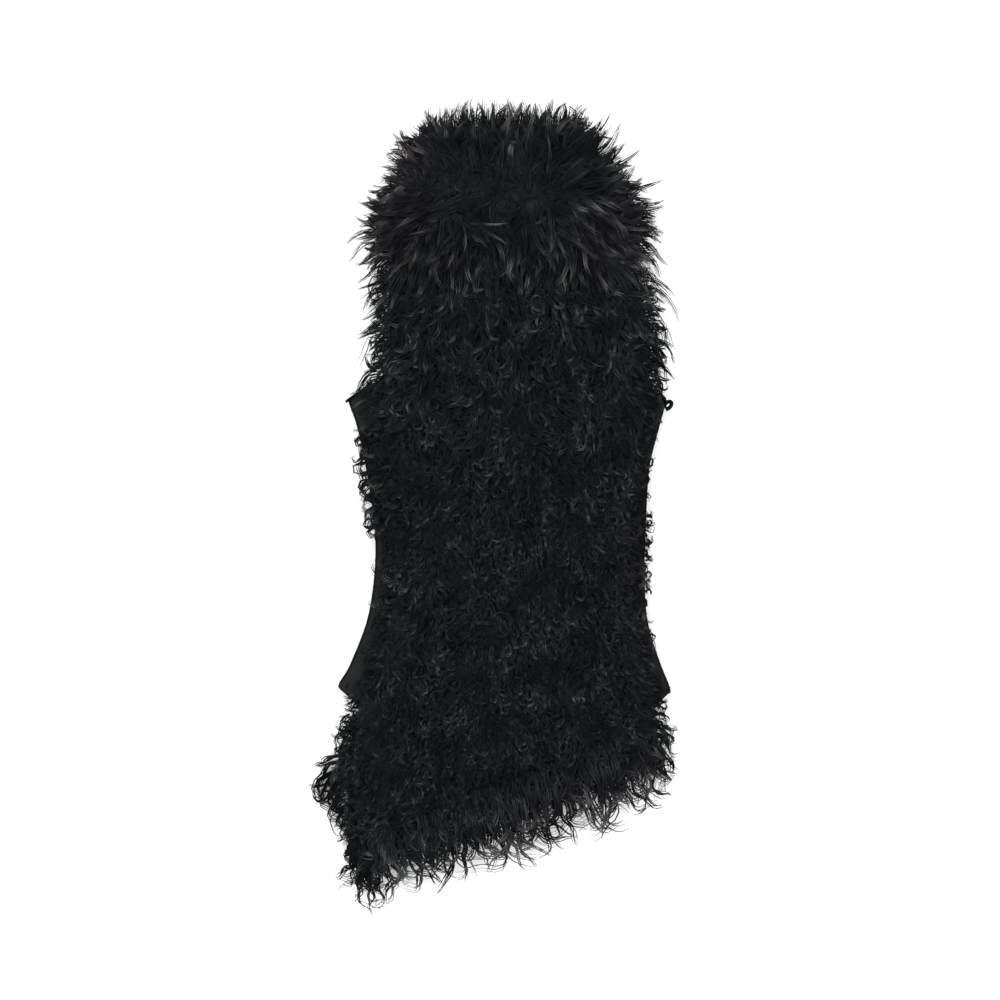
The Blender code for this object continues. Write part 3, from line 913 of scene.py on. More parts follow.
class Outline(Relief):
    """The outline in plan of all solids together, with every grid point's distance outside it."""

    SMOOTHING = 3
    FILLED_FROM = 0.32
    LEAST_KEPT = 1.0 / 3.0
    DRAWN_BACK = 0.88

    def __post_init__(self) -> None:
        """Read the solids and measure the distances."""
        super().__post_init__()
        filled = self.blurred(self.inside.astype(float), self.SMOOTHING) > self.FILLED_FROM
        edge = self.edge_of(filled)
        distance = np.empty(filled.shape)
        for row, y in enumerate(self.along):
            gaps = np.hypot(self.across[:, None] - edge[:, 0], y - edge[:, 1])
            distance[row] = gaps.min(axis=1)
        self.distance = np.where(filled, -distance, distance)

    def kept_share(self, guides: Array, allowance: Array) -> Array:
        """How much of each guide lies within the outline.

        Args:
            guides: centre lines, strand by strand.
            allowance: how far each may reach past the outline.

        Returns:
            Shares of their lengths, none under a third.
        """
        count, rings = guides.shape[:2]
        gaps = self.read(self.distance, guides[..., :2].reshape(-1, 2)).reshape(count, rings) - allowance[:, None]
        outside = gaps > 0.0
        last = np.where(outside.any(axis=1), outside.argmax(axis=1), rings - 1)
        before = gaps[np.arange(count), np.maximum(last - 1, 0)]
        after = gaps[np.arange(count), last]
        back = np.where(after > 0.0, after / np.maximum(after - before, 1e-6), 0.0)
        return np.clip((last - back) / (rings - 1), self.LEAST_KEPT, 1.0)

    def pulled_in(self, points: Array, allowance: Array) -> Array:
        """Draw points back that reach too far past the outline.

        Args:
            points: points in space, strand by strand.
            allowance: how far each strand may reach past it.

        Returns:
            The points, the far ones drawn back.
        """
        plan = points[..., :2].reshape(-1, 2)
        excess = self.read(self.distance, plan) - np.repeat(allowance, points.shape[1])
        drawn = plan - self.slope(self.distance, plan) * (np.maximum(excess, 0.0) * self.DRAWN_BACK)[:, None]
        return np.concatenate([drawn.reshape(*points.shape[:2], 2), points[..., 2:]], axis=-1)


# Wool


@dataclass(frozen=True)
class LockStyle:
    """How a lock of wool grows.

    Attributes:
        strands: fine strands in a lock.
        length: its length along the guide.
        uneven: random share of the length.
        width: half width of a strand near its root.
        flat: a strand's thickness as a share of its width.
        rings: sections along a strand.
        bend: share of the length over which it leans over from rising to lying.
        turns: turns of curl.
        curl: half width of the curl.
        hook: extra turns that close up towards the tip.
        coil: turns of the lock's own heading towards its tip, which closes it into a comma or a ring.
        spread: half width of the lock at its root.
        gather: how far its strands close up at the tip.
        stray: how far strands leave the lock's own curl, in radians.
        past: how far tips pass the solids' outline.
        reach: how unevenly they do.
        shades: the beta distribution from which a lock's lightness is drawn.
    """

    strands: int = 3
    length: float = 0.033
    uneven: float = 0.35
    width: float = 0.0009
    flat: float = 0.5
    rings: int = 6
    bend: float = 0.50
    turns: float = 0.75
    curl: float = 0.0026
    hook: float = 0.15
    coil: float = 0.40
    spread: float = 0.0026
    gather: float = 0.40
    stray: float = 0.35
    past: float = 0.0
    reach: float = 0.003
    shades: tuple[float, float] = (1.0, 2.2)


@dataclass
class Locks:
    """Where a set of locks is rooted and which way it grows.

    Attributes:
        roots: root points in space.
        rise: directions at the root.
        lay: directions once the wool lies over.
        length: shares of the style's length.
        coil: shares of the style's coil.
        light: shares of the usual lightness.
    """

    roots: Array
    rise: Array
    lay: Array
    length: Array = field(default_factory=lambda: np.ones(1))
    coil: Array = field(default_factory=lambda: np.ones(1))
    light: Array = field(default_factory=lambda: np.ones(1))

    def __post_init__(self) -> None:
        """Spread shares that were given once over all locks."""
        count = len(self.roots)
        self.length, self.coil, self.light = (
            np.broadcast_to(share, count) for share in (self.length, self.coil, self.light))

    def kept(self, keep: Array) -> "Locks":
        """The locks that a mask keeps."""
        return Locks(self.roots[keep], self.rise[keep], self.lay[keep], self.length[keep], self.coil[keep],
                     self.light[keep])


class Fleece:
    """A joined mesh of tapering three-sided strands, grown lock by lock."""

    # A strand's section, and how it swells and tapers along its length
    SIDES = 3
    ACROSS = np.array([-1.0, 1.0, 0.0])
    LIFTED = np.array([-0.5, -0.5, 1.0])
    BELLY = 0.20
    TAPER = 0.70
    # How single locks and strands vary round their style, as shares of its values
    TURNS_VARY = 0.35
    CURLS = (0.65, 1.25)
    COILS = (0.2, 1.5)
    LENGTHS = (0.78, 1.0)
    WIDTHS = (0.7, 1.25)
    SWINGS = (0.75, 1.2)
    # Where along a strand its coil and its curl set in, and how much of the curl rises off the pile
    COIL_FROM = 0.25
    SWING_RATE = 1.7
    FACING_SPREAD = 0.7
    CORE = 0.05
    # How unevenly tips pass the outline, as shares of the style's reach, and how far curls may pass them
    DRIFTS = (-0.9, 1.3)
    DRIFT_SWIRL = 0.7
    DRIFT_LIMIT = 1.2
    REACH_VARIES = 0.4
    CURL_PAST = 0.005
    OVER_CEILING = 0.2
    # How lightness drifts over the panel and from strand to strand
    BLOTCH = 0.24
    OWN_TONE = 0.15
    OWN_SHADES = (1.4, 2.0)

    def __init__(self, name: str, seed: int, outline: Outline) -> None:
        """Start an empty fleece.

        Args:
            name: the piece's name.
            seed: fixes its random draw.
            outline: the garment's outline.
        """
        self.name = name
        self.outline = outline
        self.chance = np.random.default_rng(seed)
        self.batches: list[tuple[Array, Array]] = []

    def grow(self, locks: Locks, style: LockStyle) -> None:
        """Add locks of one style.

        Args:
            locks: their roots and directions.
            style: how they grow.
        """
        count = len(locks.roots)
        if not count:
            return
        chance = self.chance
        length = style.length * locks.length * (1.0 + style.uneven * chance.uniform(-1.0, 1.0, count))
        phase = chance.uniform(0.0, math.tau, count)
        hand = chance.choice((-1.0, 1.0), count)
        turns = style.turns * (1.0 + self.TURNS_VARY * chance.uniform(-1.0, 1.0, count))
        curl = style.curl * chance.uniform(*self.CURLS, count)
        coil = style.coil * locks.coil * chance.uniform(*self.COILS, count) * chance.choice((-1.0, 1.0), count)
        tone = chance.beta(*style.shades, count) + self.BLOTCH * Swirl(5, 0.03, 0.09).at(locks.roots[:, :2])
        tone = tone * locks.light

        lock = np.repeat(np.arange(count), style.strands)
        total = len(lock)
        share = np.linspace(0.0, 1.0, style.rings)
        lean = soft_step(share / style.bend)[None, :, None]
        straight = unit(locks.rise[lock][:, None] * (1.0 - lean) + locks.lay[lock][:, None] * lean)
        heading = math.tau * coil[lock][:, None] * soft_step((share - self.COIL_FROM) / (1.0 - self.COIL_FROM))
        course = turned(straight, heading)
        strand_length = length[lock] * chance.uniform(*self.LENGTHS, total)
        drift = chance.uniform(*self.DRIFTS, count) + self.DRIFT_SWIRL * Swirl(61, 0.02, 0.06).at(locks.roots[:, :2])
        drift = np.clip(drift, -self.DRIFT_LIMIT, self.DRIFT_LIMIT)[lock]
        drift = drift + chance.uniform(-self.REACH_VARIES, self.REACH_VARIES, total)
        allowance = style.past + style.reach * drift
        steps = course * (strand_length / (style.rings - 1))[:, None, None]
        run = np.concatenate([np.zeros((total, 1, 3)), np.cumsum(steps[:, :-1], axis=1)], axis=1)
        root = locks.roots[lock][:, None]
        kept = self.outline.kept_share(root + run, allowance)
        guide = root + run * kept[:, None, None]

        aside = turned(unit(np.cross(locks.lay, UP))[lock][:, None], heading)
        over = unit(np.cross(aside, course))
        wobble = chance.uniform(-1.0, 1.0, (total, 1)) * style.stray
        winding = (turns[lock] * kept)[:, None] * share + style.hook * share**3
        angle = phase[lock][:, None] + wobble + hand[lock][:, None] * math.tau * winding
        swing = curl[lock][:, None] * chance.uniform(*self.SWINGS, (total, 1)) * soft_step(share * self.SWING_RATE)
        around = chance.uniform(0.0, math.tau, (total, 1))
        apart = style.spread * np.sqrt(chance.uniform(self.CORE, 1.0, (total, 1))) * (1.0 - style.gather * share)
        sideways = np.cos(angle) * swing + np.cos(around) * apart
        upright = self.FACING_SPREAD * (np.sin(angle) * swing + np.sin(around) * apart)
        centres = guide + aside * sideways[..., None] + over * upright[..., None]
        centres = self.outline.pulled_in(centres, allowance + self.CURL_PAST)
        level = np.maximum(centres[..., 2], CLEAR_OF_FLOOR + style.width)
        centres[..., 2] = np.minimum(level, CEILING + self.OVER_CEILING * np.maximum(level - CEILING, 0.0))

        taper = (1.0 - self.BELLY + self.BELLY * np.sin(math.pi * share)) * (1.0 - self.TAPER * share**3)
        widths = style.width * chance.uniform(*self.WIDTHS, (total, 1)) * taper
        own = chance.beta(*self.OWN_SHADES, total)
        strand_tone = np.clip((1.0 - self.OWN_TONE) * tone[lock] + self.OWN_TONE * own, 0.0, 1.0)
        points = self.swept(centres, widths, style.flat, aside[:, 0])
        self.batches.append((points, strand_tone))

    def swept(self, centres: Array, widths: Array, flat: float, aside: Array) -> Array:
        """Rings of points round flattened strands.

        Args:
            centres: centre lines, strand by strand.
            widths: half width along each.
            flat: thickness as a share of the width.
            aside: the way in which each root is wide.

        Returns:
            Points by strand, ring and side.
        """
        tangents = unit(np.gradient(centres, axis=1))
        normal = aside
        normals = []
        for ring in range(centres.shape[1]):
            tangent = tangents[:, ring]
            normal = unit(normal - tangent * (normal * tangent).sum(axis=1, keepdims=True))
            normals.append(normal)
        first = np.stack(normals, axis=1)
        second = np.cross(tangents, first)
        section = self.ACROSS[:, None] * first[:, :, None] + flat * self.LIFTED[:, None] * second[:, :, None]
        return centres[:, :, None] + section * widths[:, :, None, None]

    def mesh(self) -> bpy.types.Mesh:
        """Join all strands into one mesh with its along, across and tone attributes.

        Returns:
            The mesh.
        """
        points, quads, caps, along, across, tone = [], [], [], [], [], []
        first = 0
        side = np.arange(self.SIDES)
        for places, tones in self.batches:
            strands, rings = places.shape[:2]
            points.append(places.reshape(-1, 3))
            base = first + np.arange(strands)[:, None, None] * rings * self.SIDES
            ring = base + np.arange(rings - 1)[None, :, None] * self.SIDES
            corner, beside = ring + side, ring + (side + 1) % self.SIDES
            quads.append(np.stack([corner, beside, beside + self.SIDES, corner + self.SIDES], -1).reshape(-1, 4))
            root = base[:, 0] + side[::-1]
            tip = base[:, 0] + (rings - 1) * self.SIDES + side
            caps.append(np.concatenate([root, tip]))
            share = np.linspace(0.0, 1.0, rings)
            along.append(np.broadcast_to(share[None, :, None], (strands, rings, self.SIDES)).ravel())
            across.append(np.tile(self.ACROSS, strands * rings))
            tone.append(np.repeat(tones, rings * self.SIDES))
            first += strands * rings * self.SIDES
        four, three = np.concatenate(quads), np.concatenate(caps)
        made = bpy.data.meshes.new(self.name)
        made.vertices.add(first)
        made.vertices.foreach_set("co", np.concatenate(points).astype(np.float32).ravel())
        made.loops.add(four.size + three.size)
        made.loops.foreach_set("vertex_index", np.concatenate([four.ravel(), three.ravel()]).astype(np.int32))
        made.polygons.add(len(four) + len(three))
        starts = np.concatenate([4 * np.arange(len(four)), four.size + 3 * np.arange(len(three))])
        made.polygons.foreach_set("loop_start", starts.astype(np.int32))
        made.polygons.foreach_set("use_smooth", np.ones(len(starts), dtype=bool))
        made.update(calc_edges=True)
        for label, values in (("along", along), ("across", across), ("tone", tone)):
            layer = made.attributes.new(label, "FLOAT", "POINT")
            layer.data.foreach_set("value", np.concatenate(values).astype(np.float32))
        return made

    def build(self, material: Material, stands_for: Sequence[str] = ()) -> Piece:
        """Make the fleece a piece of the garment, in a finish and in place of nodes."""
        return take(add_piece(self.name, self.mesh()), Slot.WOOL, material, stands_for)


def rooted(plan: Array, relief: Relief, lay: Array, depth: float, chance: np.random.Generator,
           lean: float = 0.55, splay: float = 0.30) -> Locks:
    """Root locks under a wool face and turn them outwards near its rim.

    Args:
        plan: points in plan.
        relief: the wool face.
        lay: directions in plan in which the wool lies.
        depth: how far below the face the roots are.
        chance: the draw.
        lean: how far the roots already lean along the lay.
        splay: random turn of each lock.

    Returns:
        The locks.
    """
    up = UP * float(relief.facing.value)
    near = relief.nearness(plan)[:, None]
    outwards = relief.outwards(plan)
    shaken = unit(lay + chance.normal(0.0, splay, lay.shape))
    flow = unit(shaken * (1.0 - 0.35 * near) + outwards * 0.45 * near)
    rise = unit(up * (1.0 - 0.55 * near) + in_space(outwards * 0.7 * near + flow * lean))
    fall = (relief.slope(relief.height, plan) * flow).sum(axis=1, keepdims=True)
    lying = unit(in_space(flow) + UP * np.clip(fall, -0.9, 0.6) + up * chance.uniform(-0.22, 0.10, near.shape))
    return Locks(relief.on_face(plan) - rise * depth, rise, lying)


# Sub-assemblies


@dataclass(frozen=True)
class Zone:
    """A box in plan.

    Attributes:
        left: its lower limit across the garment.
        right: its upper limit across the garment.
        low: its lower limit along the garment.
        high: its upper limit along the garment.
    """

    left: float = -1.0
    right: float = 1.0
    low: float = -1.0
    high: float = 1.0

    def holds(self, plan: Array) -> Array:
        """Which points in plan lie in the box."""
        across, along = plan[:, 0], plan[:, 1]
        return (across > self.left) & (across < self.right) & (along > self.low) & (along < self.high)


def lay_sheet(skin: Piece, relief: Relief, rests_on: str, pieces: list[Piece]) -> None:
    """Declare a skin as a laid sheet, together with its wool.

    Args:
        skin: the skin.
        relief: its solid's wool face.
        rests_on: what it lies on.
        pieces: the wool that goes with it.
    """
    low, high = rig.box(*relief.nodes)
    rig.sheet(skin, flat=(high.x - low.x, high.y - low.y), held="laid", rests_on=[rests_on],
             area=relief.area, with_pieces=pieces)


@dataclass
class Skin:
    """A thin shell of hide and underwool, cut from its solid's wool face and sunk below the wool.

    Attributes:
        node: the solid that it follows.
        name: the piece's name.
        facing: the face that bears the wool.
        sink: how much of the wool's height over the rim is taken off.
        settle: how far the rim sinks.
        thickness: the shell's wall.
        crimp: height of the underwool's lumps.
        pull_in: how far the rim is pulled towards the next points inside it, as a share.
    """

    STEEP = 0.15

    node: str
    name: str
    facing: Facing = Facing.UP
    sink: float = 0.13
    settle: float = 0.0035
    thickness: float = 0.003
    crimp: float = 0.0022
    pull_in: float = 0.55

    def build(self, material: Material) -> Piece:
        """Cut, sink, crimp and thicken the shell.

        Args:
            material: its finish.

        Returns:
            The piece.
        """
        piece = copy_of_solid(self.node, self.name)
        self.keep_wool_face(piece)
        places = points_of(piece)
        sign = float(self.facing.value)
        rim = (places[:, 2] * sign).min()
        places[:, 2] = sign * (rim - self.settle + (places[:, 2] * sign - rim) * (1.0 - self.sink))
        move_points(piece, places)
        with all_selected():
            bpy.ops.mesh.subdivide(number_cuts=1)
        places = points_of(piece)
        lumps = Swirl(7, 0.010, 0.030).at(places[:, :2])
        places[:, 2] -= sign * self.crimp * np.abs(lumps)
        move_points(piece, places)
        wall = piece.modifiers.new("hide", "SOLIDIFY")
        wall.thickness = self.thickness
        wall.offset = -1.0
        bpy.ops.object.modifier_apply(modifier=wall.name)
        piece.data.shade_smooth()
        return take(piece, Slot.WOOL, material, (self.node,))

    def keep_wool_face(self, piece: Piece) -> None:
        """Delete all but the wool face and pull its rim inwards.

        Args:
            piece: the merged copy of the solid.
        """
        bpy.ops.object.mode_set(mode="EDIT")
        bm = bmesh.from_edit_mesh(piece.data)
        sign = float(self.facing.value)
        for face in bm.faces:
            face.select_set(face.normal.z * sign < self.STEEP)
        bmesh.update_edit_mesh(piece.data)
        bpy.ops.mesh.delete(type="FACE")
        bm = bmesh.from_edit_mesh(piece.data)
        pulled = {}
        for vert in bm.verts:
            inner = [edge.other_vert(vert).co for edge in vert.link_edges if not edge.is_boundary]
            if vert.is_boundary and inner:
                middle = sum(inner, Vector()) / len(inner)
                pulled[vert] = vert.co.lerp(Vector((middle.x, middle.y, vert.co.z)), self.pull_in)
        for vert, place in pulled.items():
            vert.co = place
        bmesh.update_edit_mesh(piece.data)
        bpy.ops.object.mode_set(mode="OBJECT")


@dataclass
class BodyFront:
    """The front panel: skin, three stretches of curly wool and the fringe round its rims.

    Attributes:
        outline: the garment's outline.
        spacing: distance between locks.
        depth: how far below the wool's face a lock is rooted.
        fan: how far the lay turns to the sides across the panel.
        swirl: random turn of the lay, in radians.
        stretches: names of the wool's three pieces with their lower and upper limits.
        covered_from: where the collar begins to cover the panel.
        upper_from: where the curls begin to open into longer, straighter locks.
        upper_over: the length over which they do.
        style: the locks of the wool.
        light: their share of the usual lightness.
        comma_spacing: distance between the curls with painted highlights on it.
        comma_lift: how far above the wool's face these are rooted.
        comma_style: their shape.
        rim_spacing: distance between the fringe's locks.
        rim_sink: how far below the wool's face they are rooted.
        hem_rows: insets of the fringe's rows.
        side_rows: insets of the rows that only stand at the waist, outside the rim.
        hem: where the free locks of the hem hang.
        hem_turn: how far the rim there looks down, at least.
        skirt: where the sides hang down like the hem.
        tail: the long lower corner, whose locks hang straight.
        hem_right: the hem's longer right part.
        hem_end: the right part's short end.
        waists: the curls that stand off the waist, left and right.
        flank: the sides below the collar.
        armhole: the sides with straight wisps.
        neck: the wisps beside the collar.
        by_loop: the wisps beside the right armhole's loop.
        over_loop: where these may grow.
        reaches: how far the locks of tail, hem, armhole, waist and the rest point outwards.
        lights: lightness of the hem and of the rest, as shares of the usual.
        hem_style: locks of the hem.
        flank_style: locks of the sides.
        waist_style: locks of the waist.
        wisp_style: locks of the armholes.
    """

    outline: Outline
    spacing: float = 0.0080
    depth: float = 0.007
    fan: float = 0.75
    swirl: float = 0.80
    stretches: tuple[tuple[str, float, float], ...] = (
        ("front_wool_chest", 0.065, 1.0), ("front_wool_waist", -0.165, 0.065), ("front_wool_hip", -1.0, -0.165))
    covered_from: float = 0.280
    upper_from: float = -0.06
    upper_over: float = 0.24
    style: LockStyle = LockStyle(width=0.0006, rings=5)
    light: float = 0.58
    comma_spacing: float = 0.0092
    comma_lift: float = 0.002
    comma_style: LockStyle = LockStyle(length=0.021, width=0.0010, flat=0.4, bend=0.35, turns=0.4, curl=0.0016,
                                       coil=0.52, spread=0.0022, gather=0.2, stray=0.3, shades=(6.0, 8.0))
    rim_spacing: float = 0.0060
    rim_sink: float = 0.004
    hem_rows: tuple[float, ...] = (0.004, 0.016, 0.030, 0.046)
    side_rows: tuple[float, ...] = (-0.007, -0.014)
    hem: Zone = Zone(high=-0.262)
    hem_turn: float = 0.35
    skirt: Zone = Zone(high=-0.25)
    tail: Zone = Zone(right=-0.09, high=-0.36)
    hem_right: Zone = Zone(left=-0.015)
    hem_end: Zone = Zone(left=0.140)
    waists: tuple[Zone, Zone] = (Zone(right=0.0, low=-0.03, high=0.090), Zone(left=0.0, low=-0.110, high=-0.010))
    flank: Zone = Zone(high=0.300)
    armhole: Zone = Zone(low=0.115)
    neck: Zone = Zone(low=0.238)
    by_loop: Zone = Zone(left=0.0, high=0.160)
    over_loop: Zone = Zone(low=0.134)
    reaches: tuple[float, ...] = (0.10, 0.35, 0.40, 0.48, 0.16)
    lights: tuple[float, float] = (1.65, 1.1)
    hem_style: LockStyle = LockStyle(strands=4, length=0.064, rings=12, turns=1.8, curl=0.0038, hook=0.12, coil=0.22,
                                     spread=0.0034, gather=0.45, bend=0.35, stray=0.28, past=0.018, reach=0.006,
                                     shades=(2.6, 3.3))
    flank_style: LockStyle = LockStyle(strands=4, length=0.038, rings=8, turns=0.8, curl=0.0030, reach=0.001)
    waist_style: LockStyle = LockStyle(strands=6, length=0.036, width=0.0007, rings=7, turns=0.8, curl=0.0030,
                                       coil=0.45, reach=0.006, shades=(2.0, 3.0))
    wisp_style: LockStyle = LockStyle(strands=7, length=0.060, width=0.0006, rings=7, turns=0.5, curl=0.0030,
                                      hook=0.1, coil=0.06, spread=0.0042, gather=0.80, reach=0.010)

    def build(self, wool: Material, loose: Material, hide: Material) -> Piece:
        """Build the skin and its wool.

        Args:
            wool: the curls' finish.
            loose: the fringe's finish.
            hide: the skin's finish.

        Returns:
            The skin, which is declared as the panel's sheet.
        """
        skin = Skin("front_panel", "front_skin").build(hide)
        relief = Relief(("front_panel",))
        lay_sheet(skin, relief, "back_skin", self.wool(relief, wool) + [self.fringe(relief, loose)])
        return skin

    def lay(self, plan: Array) -> Array:
        """Directions in plan in which the wool lies.

        Args:
            plan: points in plan.

        Returns:
            Unit directions.
        """
        low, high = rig.box("front_panel")
        aside = (plan[:, 0] - (low.x + high.x) / 2.0) / ((high.x - low.x) / 2.0)
        return towards(np.arctan2(-1.0, self.fan * aside) + self.swirl * Swirl(21, 0.05, 0.16).at(plan))

    def upper(self, plan: Array) -> Array:
        """How open the curls are: 0 at the hip, 1 on the chest."""
        return soft_step((plan[:, 1] - self.upper_from) / self.upper_over)

    def wool(self, relief: Relief, material: Material) -> list[Piece]:
        """Cover the panel with curly locks.

        Args:
            relief: the panel's wool face.
            material: the wool's finish.

        Returns:
            The wool's pieces.
        """
        chance = np.random.default_rng(11)
        plan = relief.scatter(self.spacing, chance)
        locks = rooted(plan, relief, self.lay(plan), self.depth, chance)
        upper = self.upper(plan)
        locks.length = (1.0 + 0.26 * upper) * (1.0 - 0.30 * relief.nearness(plan))
        locks.coil = 1.1 - 0.45 * upper
        locks.light = np.full(len(plan), self.light)
        commas = self.commas(relief, chance)
        pieces = []
        for number, (name, low, high) in enumerate(self.stretches):
            fleece = Fleece(name, 100 + number, self.outline)
            for curls, style in ((locks, self.style), (commas, self.comma_style)):
                along = curls.roots[:, 1]
                here = (along > low) & (along <= high) & (along < self.covered_from)
                fleece.grow(curls.kept(here), style)
            pieces.append(fleece.build(material))
        return pieces

    def commas(self, relief: Relief, chance: np.random.Generator) -> Locks:
        """Short curls that lie on the wool in drifts, made light as painted highlights.

        Args:
            relief: the panel's wool face.
            chance: the draw.

        Returns:
            The curls.
        """
        plan = relief.scatter(self.comma_spacing, chance)
        drift = Swirl(71, 0.05, 0.13).at(plan)
        plan = plan[drift + chance.normal(0.0, 0.5, len(plan)) > -0.55]
        upper = self.upper(plan)
        locks = rooted(plan, relief, self.lay(plan), -self.comma_lift, chance, lean=1.2, splay=0.5)
        locks.length = 1.0 + 0.5 * upper
        locks.coil = 1.0 - 0.45 * upper
        # Painted highlights: these curls are lighter than the wool, more so on the chest.
        locks.light = 1.27 + 0.46 * upper + 0.26 * Swirl(72, 0.04, 0.10).at(plan)
        return locks

    def fringe(self, relief: Relief, material: Material) -> Piece:
        """Hang free locks from the hem and lay short ones along the sides.

        Args:
            relief: the panel's wool face.
            material: the wool's finish.

        Returns:
            The fringe.
        """
        chance = np.random.default_rng(12)
        rows = [relief.rim(self.rim_spacing, inset, chance) for inset in self.hem_rows + self.side_rows]
        plan = np.concatenate(rows)
        row = np.repeat(np.arange(len(rows)), [len(places) for places in rows])
        outwards = relief.outwards(plan)
        beside = row >= len(self.hem_rows)
        hem = self.hem.holds(plan) & (outwards[:, 1] < -self.hem_turn) & ~beside
        waist = np.any([zone.holds(plan) for zone in self.waists], axis=0) & ((row < 2) | beside)
        flank = ~hem & self.flank.holds(plan) & ((row == 0) | waist)
        low = hem | self.skirt.holds(plan)
        wisp = flank & self.armhole.holds(plan)
        tail = low & self.tail.holds(plan)
        *zoned, rest = self.reaches
        reach = np.select([tail, low, wisp, waist], zoned, rest)[:, None]
        lay = unit(reach * outwards + (1.0 - reach) * TO_HEM + np.outer(tail, (0.22, 0.0))
                   + chance.normal(0.0, 0.18, (len(plan), 2)))
        rise = unit(in_space(outwards * (0.4 + reach)) + 0.35 * UP)
        drop = np.where(low, -0.16, -0.05)[:, None] * UP
        locks = Locks(relief.on_face(plan, -self.rim_sink), rise, unit(in_space(lay) + drop),
                      light=np.where(hem, *self.lights))
        right, end = self.hem_right.holds(plan), self.hem_end.holds(plan)
        neck, by_loop = wisp & self.neck.holds(plan), wisp & self.by_loop.holds(plan)
        fleece = Fleece("front_fringe", 120, self.outline)
        for places, style in (
                (hem & ~right, self.hem_style),
                (hem & right & ~end, replace(self.hem_style, length=0.078, past=0.027)),
                (hem & end, replace(self.hem_style, past=0.016)),
                (flank & low, replace(self.hem_style, length=0.046, past=-0.008, reach=0.005)),
                (flank & ~low & ~wisp & ~waist, self.flank_style),
                (waist, self.waist_style),
                (wisp & ~neck & ~by_loop, self.wisp_style),
                (by_loop & self.over_loop.holds(plan), replace(self.wisp_style, length=0.026)),
                (neck, replace(self.wisp_style, strands=8, width=0.0005, past=0.011))):
            fleece.grow(locks.kept(places), style)
        return fleece.build(material, ("hem_locks_front", "hem_locks_left", "hem_locks_right",
                                       "armhole_locks_left", "armhole_locks_right"))


@dataclass
class BodyBack:
    """The back panel: a flat-lying skin, pressed wool under it and the locks that show past the front.

    Attributes:
        outline: the garment's outline.
        spacing: distance between the pressed locks.
        press: the thickness into which their wool is pressed.
        style: the pressed locks.
        rim_spacing: distance between the locks round the rim.
        rim_rows: insets of their rows.
        rim_level: their roots' height over the floor.
        rim_play: how far that height varies.
        waist: where the back shows past the waist.
        below: where it shows past the hem.
        left: the lower part's left half.
        corner: the tuft at the left end of the hem.
        body: all but the part under the collar.
        rim_style: the locks that show round the rim.
    """

    outline: Outline
    spacing: float = 0.0225
    press: float = 0.007
    style: LockStyle = LockStyle(strands=2, length=0.060, width=0.0026, rings=4, bend=0.3, turns=0.3,
                                 curl=0.0050, coil=0.05, spread=0.0070, past=-0.012)
    rim_spacing: float = 0.0065
    rim_rows: tuple[float, ...] = (0.006, 0.014)
    rim_level: float = 0.011
    rim_play: float = 0.004
    waist: Zone = Zone(right=0.0, low=-0.04, high=0.115)
    below: Zone = Zone(high=-0.26)
    left: Zone = Zone(right=0.0)
    corner: Zone = Zone(right=-0.12, low=-0.350, high=-0.300)
    body: Zone = Zone(high=0.29)
    rim_style: LockStyle = LockStyle(strands=5, length=0.044, width=0.0007, rings=9, turns=1.2, curl=0.0036,
                                     hook=0.3, bend=0.4, stray=0.4, reach=0.006)

    def build(self, wool: Material, hide: Material) -> Piece:
        """Build the skin and its wool.

        Args:
            wool: the wool's finish.
            hide: the skin's finish.

        Returns:
            The skin, which is declared as the panel's sheet.
        """
        skin = Skin("back_panel", "back_skin", facing=Facing.DOWN, sink=0.45, settle=0.002).build(hide)
        relief = Relief(("back_panel",), Facing.DOWN)
        lay_sheet(skin, relief, "floor", [self.pressed(relief, wool), self.fringe(relief, wool)])
        return skin

    def pressed(self, relief: Relief, material: Material) -> Piece:
        """Wool that the garment's weight presses flat on the floor.

        Args:
            relief: the panel's underside.
            material: the wool's finish.

        Returns:
            The wool.
        """
        chance = np.random.default_rng(31)
        plan = relief.scatter(self.spacing, chance)
        turn = -math.pi / 2.0 + 0.8 * Swirl(33, 0.06, 0.2).at(plan) + chance.normal(0.0, 0.25, len(plan))
        lay = in_space(towards(turn))
        roots = relief.on_face(plan, chance.uniform(0.15, 1.0, len(plan)) * self.press)
        fleece = Fleece("back_wool", 130, self.outline)
        fleece.grow(Locks(roots, lay, lay), self.style)
        return fleece.build(material)

    def fringe(self, relief: Relief, material: Material) -> Piece:
        """Locks round the back's rim.

        Args:
            relief: the panel's underside.
            material: the wool's finish.

        Returns:
            The fringe.
        """
        chance = np.random.default_rng(32)
        plan = np.concatenate([relief.rim(self.rim_spacing, inset, chance) for inset in self.rim_rows])
        outwards = relief.outwards(plan)
        waist, below, corner = (zone.holds(plan) for zone in (self.waist, self.below, self.corner))
        reach = np.where(waist, 0.75, 0.45)[:, None]
        lay = unit(reach * outwards + (1.0 - reach) * TO_HEM + chance.normal(0.0, 0.2, (len(plan), 2)))
        level = self.rim_level + chance.uniform(-self.rim_play, self.rim_play, len(plan))
        locks = Locks(np.column_stack([plan, level]), in_space(outwards), unit(in_space(lay) - 0.10 * UP))
        shows = waist | below
        low = below & ~corner & self.left.holds(plan)
        fleece = Fleece("back_fringe", 131, self.outline)
        for places, style in (
                (shows & ~corner & ~low, self.rim_style),
                (low, replace(self.rim_style, past=-0.008)),
                (corner, replace(self.rim_style, strands=7, length=0.062, width=0.0008, hook=0.1, coil=0.25,
                                 past=0.010)),
                (~shows & self.body.holds(plan), replace(self.rim_style, strands=2, rings=5, length=0.022,
                                                         width=0.0008, turns=0.4, hook=0.0, coil=0.08))):
            fleece.grow(locks.kept(places), style)
        return fleece.build(material, ("back_locks_waist", "back_locks_left", "back_locks_hem"))


